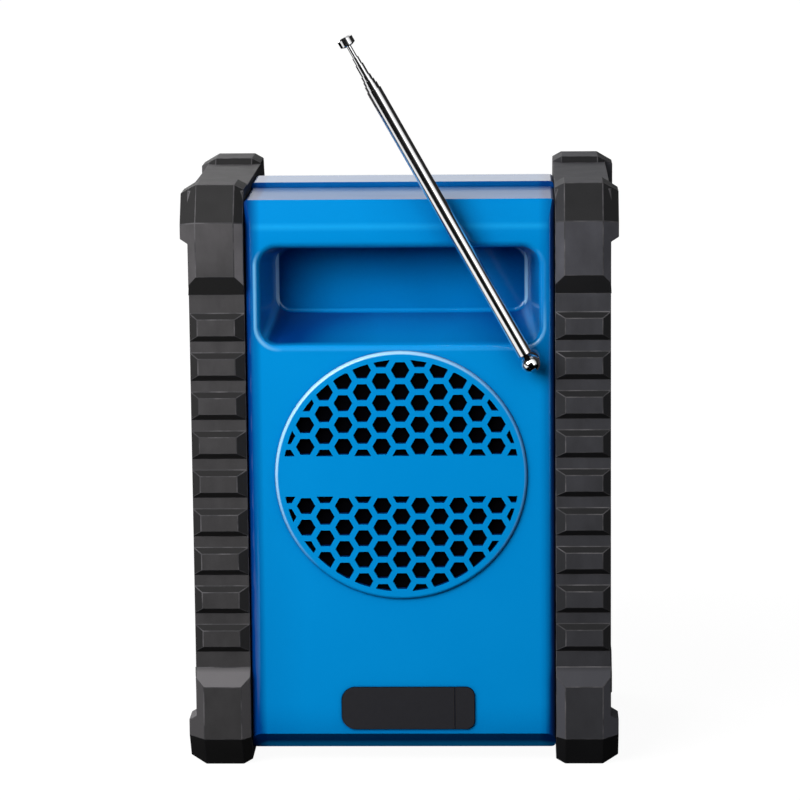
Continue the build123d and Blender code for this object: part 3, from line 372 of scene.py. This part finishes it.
moulded_blue = Finish("moulded_blue", Coat_Roughness=coat_roughness, Specular_Tint=blue_gloss)
fade = moulded_blue.where
cloudy = moulded_blue.noise(cloud_size, detail=2.0)
grain = moulded_blue.noise(grain_size, detail=2.0)
place_x, place_y, place_z = moulded_blue.parts(moulded_blue.place)
turn_x, _, turn_z = moulded_blue.facing()
deep = rear_face - place_y
right_half = fade((place_x, -10 * mm, 10 * mm))

# Painted highlights along the crease across the back and along the recess's outline.
crease_highlight = fade(((place_z - crease_height).magnitude(), 2.2 * mm, 0.3 * mm))
past_x = (place_x.magnitude() - (recess_half[0] - recess_corner)).maths("MAXIMUM", 0.0)
past_z = ((place_z - recess_middle).magnitude()
          - (recess_half[1] - recess_corner)).maths("MAXIMUM", 0.0)
from_lip = (past_x * past_x + past_z * past_z).maths("SQRT") - recess_corner + lip_inset
lip_highlight = (fade((from_lip.magnitude(), 1.0 * mm, 0.2 * mm), (deep, 9 * mm, 7 * mm),
            (place_z, 245 * mm, 238 * mm))
       * (fade((place_x, 54 * mm, 65 * mm)) * lip_highlight_right + lip_highlight_all
          + fade((place_x, -50 * mm, -64 * mm), (place_z, 222 * mm, 208 * mm))
          * lip_highlight_left))
# A painted highlight along the recess's upright back edges.
back_edge_highlight = (fade((place_x.magnitude(), recess_back_half - 1.4 * mm, recess_back_half - 0.9 * mm),
                  (deep, recess_depth - 1.5 * mm, recess_depth - 1.0 * mm),
                  (deep, recess_depth + 2.0 * mm, recess_depth + 1.0 * mm),
                  (place_z, 205 * mm, 209 * mm), (place_z, 244 * mm, 241 * mm),
                  (place_x.magnitude(), 61 * mm, 60.5 * mm))
             * right_half.between(*back_edge_highlight_share))

# Painted shade on the recess's floor, heavier toward the right, and painted light
# that takes the shade off its right wall.
in_recess = fade((deep, 5 * mm, 8 * mm), (deep, recess_depth, recess_depth - 2 * mm))
recess_floor_shade = (fade((turn_z, 0.6, 0.8), (place_z, 216 * mm, 215 * mm))
                * fade((place_x, 10 * mm, 55 * mm)).between(*floor_shade))
recess_wall_light = fade((turn_x, -0.7, -0.9), (place_z, 195 * mm, 200 * mm),
                   (place_z, 250 * mm, 245 * mm))

# A painted highlight on the grille's rim toward the light, weaker on the left, and painted
# shade on the walls of its holes.
height = place_z - grille_middle
from_middle = (place_x * place_x + height * height).maths("SQRT")
toward_light = place_x * rim_toward_light[0] + height * rim_toward_light[1]
rim = (fade((from_middle, grille_radius - 1.5 * mm, grille_radius - 1.1 * mm),
            (from_middle, grille_radius + 0.2 * mm, grille_radius),
            (deep, 5 * mm, 3 * mm))
       * (fade((toward_light, -10 * mm, 45 * mm))
          + fade((place_x, -35 * mm, -55 * mm)) * rim_highlight_left))
hole_walls = fade((from_middle, grille_radius - 2.2 * mm, grille_radius - 2.8 * mm),
                  (place_y, grille_high.y - 0.3 * mm, grille_high.y - 1.0 * mm),
                  (place_y, grille_low.y - 2.0 * mm, grille_low.y - 1.0 * mm))

# Painted shade beside the rings, on the top and toward it, low on the right, on the hole walls,
# in the recess and in inner corners by ambient occlusion; taken off at the bottom chamfer.
roof = fade((turn_z, 0.9, 0.96), (place_z, 262 * mm, 266 * mm))
# Painted shade beside the rings, low on the right, and toward the top.
side_shade = (fade((place_x.magnitude(), 63.8 * mm, 69.6 * mm)) * right_half.between(*side_shade_share)
             + fade((place_x, 45 * mm, 68 * mm), (place_z, 200 * mm, 60 * mm)) * low_right_shade
             + fade((place_z, 200 * mm, 260 * mm)) * high_shade)
openness = moulded_blue.node("ShaderNodeAmbientOcclusion", {"samples": corner_samples},
                             {"Distance": corner_reach}, outlet="AO")
painted_shade = (side_shade + in_recess * (recess_floor_shade - recess_wall_light)
         + 1.0 - fade((openness, 0.3, 1.0)) - fade((place_z, 12.5 * mm, 10 * mm))
         + hole_walls * hole_shade + roof * roof_shade)
on_rear_cover = fade((place_y, parting, parting + 1 * mm))

# Random paler clouds, and the painted highlight along the crease.
clouded_and_crease_lit = moulded_blue.mix(cloudy * cloud_wear + crease_highlight * crease_highlight_share, blue, blue_cloud_and_highlight)
# Painted shade mixed in.
shaded = moulded_blue.mix(painted_shade, clouded_and_crease_lit, blue_painted_shade)
# Painted highlight along the recess's outline.
lip_lit = moulded_blue.mix(lip_highlight, shaded, blue_lip_highlight)
# Painted highlights on the recess's back edges and on the grille's rim.
moulded_blue.put(Base_Color=moulded_blue.mix(back_edge_highlight + rim * rim_highlight_share, lip_lit, blue_highlight),
                 Roughness=cloudy * blue_haze + blue_roughness,
                 Coat_Weight=coat_weight + roof * (roof_coat - on_rear_cover * rear_roof_coat),
                 Normal=moulded_blue.bump(grain, grain_depth))
dress(moulded_blue, "front_housing")
dress(moulded_blue, "rear_cover",
      rounding=(rear_face - recess_depth, back_edge_past, back_edge_round))

# ------------------------------------------------------------------- armour rings
# Two rings of black rubber, moulded solid, pulled over the housing's cheeks. Their grey is
# painted light and shade, set by how each facet faces and how high it lies, and differing from
# ring to ring; bevels and undersides are painted darker. Random dust and scuffs lie over it.

ring_inner = 71.4 * mm
ring_outer = 97.0 * mm
ring_edge = 0.28 * mm
ring_edge_segments = 2
ring_edge_turn = 17.0
ring_smooth_turn = 20.0
ring_flat_turn = 1.5
ring_weld = 0.12 * mm
valley = 4.3 * mm
block_ends = {"top": (41.5 * mm, 50.1 * mm), "bottom": (39.5 * mm, 48.2 * mm)}
block_bevels = ((4.3 * mm, 2.2 * mm), (3.7 * mm, 2.08 * mm))
toe_sink = 1 * mm
toe_reach = 9 * mm
hair = 0.02 * mm


def block_toe(box, side, ahead, end):
    """Corners of the slanted end of a corner block, which spreads to the ring's full width."""
    low, high = box
    face_end, foot = block_ends[end]
    inner = ring_inner + hair
    outer = ring_outer - hair
    (inner_wide, inner_deep), (outer_wide, outer_deep) = block_bevels
    bottom = valley + toe_sink
    plan = [(inner, bottom), (inner, inner_deep + hair), (inner + inner_wide, hair),
            (outer - outer_wide, hair), (outer, outer_deep + hair), (outer, bottom)]
    toe = []
    for x, depth in plan:
        y = high.y - depth if ahead > 0 else low.y + depth
        for reach in (face_end - toe_reach, face_end + (foot - face_end) * depth / valley):
            toe.append((side * x, y, high.z - reach if end == "top" else low.z + reach))
    return toe


def armour_ring(name, side):
    """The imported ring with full-width block ends and broken edges."""
    toes = bmesh.new()
    for ahead in (1, -1):
        for end in block_ends:
            toe = block_toe(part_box(name), side, ahead, end)
            bmesh.ops.convex_hull(toes, input=[toes.verts.new(corner) for corner in toe])
    bmesh.ops.recalc_face_normals(toes, faces=toes.faces)
    toe_mesh = bpy.data.meshes.new("toes")
    toes.to_mesh(toe_mesh)
    toes.free()
    toe_piece = bpy.data.objects.new("toes", toe_mesh)
    collection.objects.link(toe_piece)

    mesh = nodes[name].data.copy()
    whole = bmesh.new()
    whole.from_mesh(mesh)
    bmesh.ops.remove_doubles(whole, verts=whole.verts, dist=weld_reach)
    whole.transform(nodes[name].matrix_world)
    whole.to_mesh(mesh)
    whole.free()
    mesh.materials.clear()
    mesh.materials.append(ring_rubber.material)
    mesh.materials.append(ring_edges.material)
    piece = bpy.data.objects.new("armour_" + name.split("_")[1], mesh)
    collection.objects.link(piece)
    union = piece.modifiers.new("union", "BOOLEAN")
    union.operation = "UNION"
    union.solver = "EXACT"
    union.object = toe_piece
    piece.modifiers.new("weld", "WELD").merge_threshold = ring_weld
    dissolve(piece, ring_flat_turn)
    round_off(piece, ring_edge, ring_edge_segments, limit_method="ANGLE",
              angle_limit=radians(ring_edge_turn), material=1, use_clamp_overlap=False)
    soften(piece, gentle=ring_smooth_turn)
    bake(piece)
    for vertex in piece.data.vertices:
        vertex.co = [min(max(at, low), high) for at, low, high in zip(vertex.co, *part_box(name))]
    bpy.data.objects.remove(toe_piece)
    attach(piece, "housing")
    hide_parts(name)


# Tones of the rubber with painted light and shade, some of them as a pair: left ring, right ring.
rib_tone = 0.022
high_rib_tone = 0.014                 # more toward the top
block_tone = (0.011, -0.013)          # more on the upper corner blocks
block_fall_tone = (0.01, 0.032)       # and more toward their tops
ring_share = (0.8, 1.0)               # of all these
scuff_share = (0.72, 1.22)            # of all these, where unscuffed and where scuffed
chamfer_scuff_share = (0.75, 1.25)
dust_tone = 0.008
chamfer_tone = 0.01
low_chamfer_tone = 0.045
high_chamfer_tone = 0.05
inward_chamfer_tone = 0.06            # more on those that face the housing
flank_tone = 0.024                    # flat sides
flank_dust_tone = 0.012
upward_tone = (0.005, 0.01)
inward_tone = (0.012, -0.007)
low_ledge_tone = (0.045, 0.125)       # sloping tops of the lower blocks
level_tone = (0.04, 0.054)            # level tops
downward_tone = 0.006
tone_scale = 5.0                      # the pale colours below stand for a tone of 0.2
pale_left = (0.19, 0.19, 0.225, 1.0)
pale_right = (0.2, 0.19, 0.2, 1.0)
ring_gloss = 0.35
ring_roughness = 0.6
dust_haze = 0.2
pore_depth = 0.04 * mm

ring_rubber = Finish("ring_rubber", Specular_IOR_Level=ring_gloss)
ring_fade = ring_rubber.where
dust = ring_rubber.noise(12 * mm, detail=4.0)
pores = ring_rubber.noise(0.9 * mm)
scuffs = ring_rubber.noise(14 * mm, detail=5.0, rough=0.55, stretch=(1.3, 1.0, 0.7))
scuffed = ring_fade((scuffs, 0.3, 0.7))
ring_x, _, ring_z = ring_rubber.parts(ring_rubber.place)
face_x, _, face_z = ring_rubber.facing()
sideways = ring_fade((face_x.magnitude(), 0.25, 0.35))
flank = ring_fade((face_x.magnitude(), 0.93, 0.97))
inward = ring_fade((face_x * ring_x, 0.0, -10 * mm))
upward = ring_fade((face_z, 0.2, 0.3))
level = ring_fade((face_z, 0.85, 0.95))
downward = ring_fade((face_z, -0.15, -0.25))
low_block = ring_fade((ring_z, 50 * mm, 46 * mm))
high_block = ring_fade((ring_z, 222 * mm, 226 * mm))
block_fall = ring_fade((ring_z, 229 * mm, 250 * mm))
right_ring = ring_fade((ring_x, -20 * mm, 20 * mm))

# Painted light and shade: the tone follows height, facing and ring; dust and scuffs are random.
tone = ((rib_tone + ring_fade((ring_z, 0.0, 200 * mm)) * high_rib_tone
         + high_block * (right_ring.between(*block_tone)
                         + block_fall * right_ring.between(*block_fall_tone)))
        * right_ring.between(*ring_share) * scuffed.between(*scuff_share) + dust * dust_tone)
tone = tone.toward(sideways, chamfer_tone + low_block * low_chamfer_tone
                   + high_block * (high_chamfer_tone + inward * right_ring * inward_chamfer_tone)
                   * scuffed.between(*chamfer_scuff_share))
tone = tone.toward(flank, flank_tone + dust * flank_dust_tone)
tone = tone.toward(upward, right_ring.between(*upward_tone)
                   + inward * right_ring.between(*inward_tone))
tone = tone.toward(upward * low_block, right_ring.between(*low_ledge_tone))
tone = tone.toward(level, right_ring.between(*level_tone))
tone = tone.toward(downward, downward_tone)
# The pale tone is painted cooler on the left ring, for the cooler light on that side.
pale = ring_rubber.mix(right_ring, pale_left, pale_right)
ring_rubber.put(Base_Color=ring_rubber.mix(tone * tone_scale, (0.0, 0.0, 0.0, 1.0), pale),
                Roughness=dust * dust_haze + ring_roughness,
                Normal=ring_rubber.bump(pores, pore_depth))

# Bevels: a painted highlight along them, broken by random wear, and painted shade where they face
# down.
edge_dark = (0.03, 0.029, 0.032, 1.0)
edge_highlight = (0.1, 0.096, 0.102, 1.0)
edge_shade = (0.006, 0.006, 0.007, 1.0)
edge_haze = 0.15

ring_edges = Finish("ring_edges", Specular_IOR_Level=ring_gloss)
wear = ring_edges.noise(9 * mm, detail=4.0)
facing_down_shade = ring_edges.where((ring_edges.facing()[2], -0.05, -0.2))
lit_worn_edge = ring_edges.mix(ring_edges.where((wear, 0.42, 0.68)), edge_dark, edge_highlight)
ring_edges.put(Base_Color=ring_edges.mix(facing_down_shade, lit_worn_edge, edge_shade),
               Roughness=wear * edge_haze + ring_roughness)

armour_ring("bumper_left", -1)
armour_ring("bumper_right", 1)

# ------------------------------------------------------------------- subwoofer
# A round plate with hexagonal holes on both sides of a plain band, black cloth behind it,
# and the woofer: pressed basket, paper cone, rubber surround, dust cap and magnet.

hole_flats = 7.5 * mm
hole_pitch = 10.2 * mm
first_hole = 8.85 * mm                # centre of the row next to the band
hole_columns = 7                      # on each side of the middle one
hole_rows = 6                         # above the band, and as many below
hole_field = 54.6 * mm                # radius
band_half = 9.5 * mm
plate_round = 1.6 * mm
round_steps = 6
plate_facets = 144


def hexagon_plate(low, high):
    """Tree of a round plate with a rounded rim, close-packed hexagons and a plain band."""
    shape = Shape("hexagon_plate", radius=(high.x - low.x) / 2, thick=high.y - low.y,
                  field=hole_field, band=band_half, pitch=hole_pitch, first=first_hole,
                  flats=hole_flats, columns=hole_columns, rows=hole_rows)
    vector = "ShaderNodeCombineXYZ"
    cylinder = "GeometryNodeMeshCylinder"
    deep = shape.size("thick") * 3.0

    body = shape.node(cylinder, None,
                      {"Vertices": plate_facets, "Radius": shape.size("radius"),
                       "Depth": shape.size("thick") - plate_round})
    top = Signal(shape, body.socket.node.outputs["Top"])
    reach = shape.size("radius")
    for step in range(round_steps):
        below, above = (radians(90 * count / round_steps) for count in (step, step + 1))
        rise = shape.node(vector, None, {"Z": plate_round * (sin(above) - sin(below))})
        body = shape.node("GeometryNodeExtrudeMesh", {"mode": "FACES"},
                          {"Mesh": body, "Selection": top, "Offset": rise, "Offset Scale": 1.0,
                           "Individual": False})
        top = Signal(shape, body.socket.node.outputs["Top"])
        closer = reach - plate_round * (cos(below) - cos(above))
        body = shape.node("GeometryNodeScaleElements", {"domain": "FACE"},
                          {"Geometry": body, "Selection": top, "Scale": closer / reach})
        reach = closer

    # The index of a hole gives its column, its half of the plate and its row.
    place = shape.node("GeometryNodeInputIndex")
    in_column = shape.size("rows") * 2.0
    counted = (place / in_column).maths("FLOOR")
    within = place - counted * in_column
    half = (within / shape.size("rows")).maths("FLOOR")
    row = within - half * shape.size("rows")
    column = counted - shape.size("columns")
    odd = column.magnitude().maths("MODULO", 2.0)
    along = (half * 2.0 - 1.0) * (shape.size("first") + (row + odd * 0.5) * shape.size("pitch"))
    spot = shape.node(vector, None,
                      {"X": column * shape.size("pitch") * (sqrt(3) / 2), "Y": along})
    points = shape.node("GeometryNodePoints", None,
                        {"Count": (shape.size("columns") * 2.0 + 1.0) * in_column,
                         "Position": spot})
    prism = shape.node(cylinder, None,
                       {"Vertices": 6, "Radius": shape.size("flats") / sqrt(3), "Depth": deep})
    holes = shape.node("GeometryNodeInstanceOnPoints", None,
                       {"Points": points, "Instance": prism})
    holes = shape.node("GeometryNodeRealizeInstances", None, (holes,))

    # Only what lies in the field and off the band is cut.
    field = shape.node(cylinder, None,
                       {"Vertices": plate_facets, "Radius": shape.size("field"),
                        "Depth": deep * 0.8})
    size = shape.node(vector, None, {"X": shape.size("radius") * 3.0,
                                     "Y": shape.size("band") * 2.0, "Z": deep * 2.0})
    band = shape.node("GeometryNodeMeshCube", None, {"Size": size})
    cut = {"operation": "DIFFERENCE", "solver": "EXACT"}
    field = shape.node("GeometryNodeMeshBoolean", cut, {"Mesh 1": field, "Mesh 2": band})
    holes = shape.node("GeometryNodeMeshBoolean", {"operation": "INTERSECT", "solver": "EXACT"},
                       {"Mesh 2": holes})
    shape.feed(holes.socket.node.inputs["Mesh 2"], field)
    plate = shape.node("GeometryNodeMeshBoolean", cut, {"Mesh 1": body, "Mesh 2": holes})
    upright = shape.node("GeometryNodeTransform", None,
                         {"Geometry": plate, "Rotation": (-pi / 2, 0.0, 0.0),
                          "Translation": ((low.x + high.x) / 2,
                                          (low.y + high.y - plate_round) / 2,
                                          (low.z + high.z) / 2)})
    shape.finish(upright, moulded_blue.material)
    return shape


hexagon_grille = bpy.data.objects.new("hexagon_grille", bpy.data.meshes.new("hexagon_grille"))
collection.objects.link(hexagon_grille)
hexagon_plate(grille_low, grille_high).put_on(hexagon_grille)
bake(hexagon_grille)
soften(hexagon_grille)
bake(hexagon_grille)
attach(hexagon_grille, "housing")
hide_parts("subwoofer_grille")

speaker_cloth = Finish("speaker_cloth", Roughness=0.95, Specular_IOR_Level=0.0)
speaker_cloth.put(Base_Color=speaker_cloth.node(
    "ShaderNodeTexChecker", None,
    {"Vector": speaker_cloth.place, "Scale": 1400.0, "Color1": (0.0005, 0.0005, 0.001, 1.0),
     "Color2": (0.002, 0.002, 0.003, 1.0)}))
dress(speaker_cloth, "grille_cloth")


def mottled(name, size, dark, light, relief=0.0, haze=0.0, detail=3.0, stretch=(1.0, 1.0, 1.0),
            Roughness=0.5, **sockets):
    """A finish whose colour wanders between two tones in blotches of that size. The same
    pattern can give it a relief and add a haze to its roughness."""
    finish = Finish(name, Roughness=Roughness, **sockets)
    pattern = finish.noise(size, detail=detail, stretch=stretch)
    finish.put(Base_Color=finish.mix(pattern, (*dark, 1.0), (*light, 1.0)))
    if relief:
        finish.put(Normal=finish.bump(pattern, relief))
    if haze:
        finish.put(Roughness=pattern * haze + Roughness)
    return finish


paper_pulp = mottled("paper_pulp", 1.5 * mm, (0.02, 0.02, 0.02), (0.05, 0.05, 0.052),
                     relief=0.1 * mm, detail=5.0, Roughness=0.85)
dress(paper_pulp, "subwoofer_cone", "speaker_cone_left", "speaker_cone_right")

soft_rubber = mottled("soft_rubber", 2 * mm, (0.009, 0.009, 0.012), (0.012, 0.012, 0.016),
                      Roughness=0.65, Specular_IOR_Level=0.3)
dress(soft_rubber, "subwoofer_surround", "subwoofer_dust_cap", "housing_seal", "port_flap",
      "port_flap_anchor")

plated_steel = mottled("plated_steel", 4 * mm, (0.5, 0.5, 0.51), (0.62, 0.62, 0.63),
                       stretch=(1.0, 1.0, 8.0), Roughness=0.35, Metallic=1.0)
dress(plated_steel, "subwoofer_basket", "speaker_basket_left", "speaker_basket_right",
      "housing_screws", "speaker_screws", "board_screws", "tuning_encoder", "encoder_nut",
      "encoder_shaft", "antenna_clip")

ferrite = mottled("ferrite", 1 * mm, (0.05, 0.05, 0.052), (0.09, 0.09, 0.092), Roughness=0.7)
dress(ferrite, "subwoofer_magnet", "speaker_magnet_left", "speaker_magnet_right")

# ------------------------------------------------------------------- front and controls
# Louvres, panel and knob of black moulded ABS, six satin grey keys, a red power key, and a
# smoked acrylic window over the display. The panel is set in the front shell's slope.

black_plastic = mottled("black_plastic", 0.8 * mm, (0.018, 0.018, 0.02), (0.03, 0.03, 0.033),
                        relief=0.04 * mm, Roughness=0.5)
dress(black_plastic, "front_grille", "control_panel", "antenna_bush", "usb_port", "dc_jack",
      "aux_jack", "button_switches", "battery_holder", "tuning_knob", "display_module")

key_plastic = mottled("key_plastic", 0.8 * mm, (0.28, 0.29, 0.31), (0.36, 0.37, 0.39),
                      Roughness=0.45)
dress(key_plastic, *[name for name in nodes if name.startswith("preset_button")],
      "menu_button", "source_button")

power_plastic = mottled("power_plastic", 0.8 * mm, (0.5, 0.03, 0.02), (0.6, 0.05, 0.03),
                        Roughness=0.45)
dress(power_plastic, "power_button")

smoked_window = mottled("smoked_window", 20 * mm, (0.008, 0.01, 0.012), (0.012, 0.014, 0.016),
                        Roughness=0.05, Coat_Weight=1.0)
dress(smoked_window, "display_lens")

# ------------------------------------------------------------------- inside
# Glass-fibre boards in green solder mask, held by screws, and four cells in green shrink
# sleeve, side by side in their tray.

solder_mask = Finish("solder_mask", Roughness=0.35)
solder_mask.put(Base_Color=solder_mask.node(
    "ShaderNodeTexBrick", None,
    {"Vector": solder_mask.place, "Scale": 260.0, "Color1": (0.01, 0.12, 0.05, 1.0),
     "Color2": (0.015, 0.15, 0.06, 1.0), "Mortar": (0.05, 0.24, 0.1, 1.0)}))
dress(solder_mask, "main_board", "control_board", "jack_board")

cell_sleeve = mottled("cell_sleeve", 10 * mm, (0.05, 0.2, 0.13), (0.07, 0.24, 0.16),
                      Roughness=0.3)
dress(cell_sleeve, "battery_cells")

# ------------------------------------------------------------------- antenna
# Seven drawn brass tubes, plated with nickel and chrome, that slide in each other and tilt on
# a slotted ball head. The head turns in a black bush in the back shell.

chrome = mottled("chrome", 6 * mm, (0.8, 0.8, 0.81), (0.88, 0.88, 0.89), haze=0.06, detail=4.0,
                 Roughness=0.1, Metallic=1.0)
dress(chrome, "antenna_swivel", "antenna_pin", "antenna_tongue", "antenna_tip",
      *[name for name in nodes if name.startswith("antenna_section")])

# ------------------------------------------------------------------- studio
# A white sweep. The key box hangs high on one side, a narrow bank stands on the other along
# the antenna, and two more boxes light the top and the front.

white = (1.0, 1.0, 1.0, 1.0)
middle = Vector((0.0, 0.0, 0.14))
antenna_line = (0.489, 0.0, 0.873)


def soft_box(name, toward, distance, width, height, glow, upright=(0.0, 0.0, 1.0)):
    """Lamp panel that faces the middle of the radio; glow is the brightness of its surface."""
    lamp = bpy.data.lights.new(name, "AREA")
    lamp.shape = "RECTANGLE"
    lamp.size = width
    lamp.size_y = height
    lamp.energy = glow * pi * width * height
    box = bpy.data.objects.new(name, lamp)
    away = Vector(toward).normalized()
    across = Vector(upright).cross(away).normalized()
    turn = Matrix((across, away.cross(across), away)).transposed().to_4x4()
    box.matrix_world = Matrix.Translation(middle + away * distance) @ turn
    collection.objects.link(box)


soft_box("key_box", toward=(0.506, 0.723, 0.469), distance=1.4, width=1.0, height=0.86,
         glow=9.6)
soft_box("bank", toward=(-0.586, 0.809, 0.156), distance=1.6, width=0.3, height=2.3, glow=1.5,
         upright=antenna_line)
soft_box("top_box", toward=(0.0, -0.15, 1.0), distance=1.5, width=1.2, height=0.8, glow=0.55)
soft_box("front_box", toward=(0.5, -0.8, 0.5), distance=1.5, width=1.0, height=0.8, glow=3.4)

# The floor looks white to the camera and lights next to nothing; only a card on it is mirrored.
floor_half = 6.0
floor_dark = (0.03, 0.03, 0.03, 1.0)
floor_glow = 1.06
far_glow = 0.06
own_glow = 0.9                        # share of the floor's look that is its own glow

floor_mesh = bpy.data.meshes.new("floor")
floor_corners = [(x * floor_half, y * floor_half, 0)
                 for x, y in ((-1, -1), (1, -1), (1, 1), (-1, 1))]
floor_mesh.from_pydata(floor_corners, [], [(0, 1, 2, 3)])
floor = bpy.data.objects.new("floor", floor_mesh)
collection.objects.link(floor)
sweep = Finish("sweep")
seen, mirrored = sweep.rays()
floor_x, floor_y, _ = sweep.parts(sweep.place)
card = sweep.where((floor_x, 0.12, 0.16), (floor_y, 0.12, 0.18), (floor_y, 0.60, 0.50))
far = sweep.where((floor_x.magnitude() + floor_y.magnitude(), 0.3, 0.9))
matt = sweep.node("ShaderNodeBsdfDiffuse", None, {"Color": sweep.mix(seen, floor_dark, white)})
glow = sweep.node("ShaderNodeEmission", None,
                  {"Color": white,
                   "Strength": seen * (far * far_glow + floor_glow) + mirrored * card})
blended = sweep.node("ShaderNodeMixShader", None, (seen * own_glow + mirrored, matt, glow))
sweep.feed(sweep.tree.nodes["Material Output"].inputs["Surface"], blended)
floor_mesh.materials.append(sweep.material)

# The world is white to the camera. Reflections find one bright window past the front of the
# radio and one along the antenna, on the camera's side, and little else.
mirror_dark = 0.02

world = bpy.data.worlds.new("studio")
world.use_nodes = True
bpy.context.scene.world = world
air = Graph(world.node_tree)
direct, reflected = air.rays()
to_right, to_back, to_top = air.parts(air.node("ShaderNodeTexCoord", outlet="Generated"))
from_antenna = to_right * -antenna_line[2] + to_top * antenna_line[0]
windows = (air.where((to_back, -0.45, -0.75), (to_right.magnitude(), 0.2, 0.1))
           + air.where((from_antenna, 0.25, 0.52), (to_back, 0.2, 0.5)))
mirror_light = air.node("ShaderNodeMapRange", None,
                        {"Value": reflected * windows, "To Min": mirror_dark, "To Max": 1.0})
air.feed(air.tree.nodes["Background"].inputs["Color"], white)
air.feed(air.tree.nodes["Background"].inputs["Strength"],
         air.node("ShaderNodeMix", {"data_type": "FLOAT"}, {0: direct, 2: mirror_light, 3: 1.0}))

bpy.context.scene.view_settings.view_transform = "Standard"
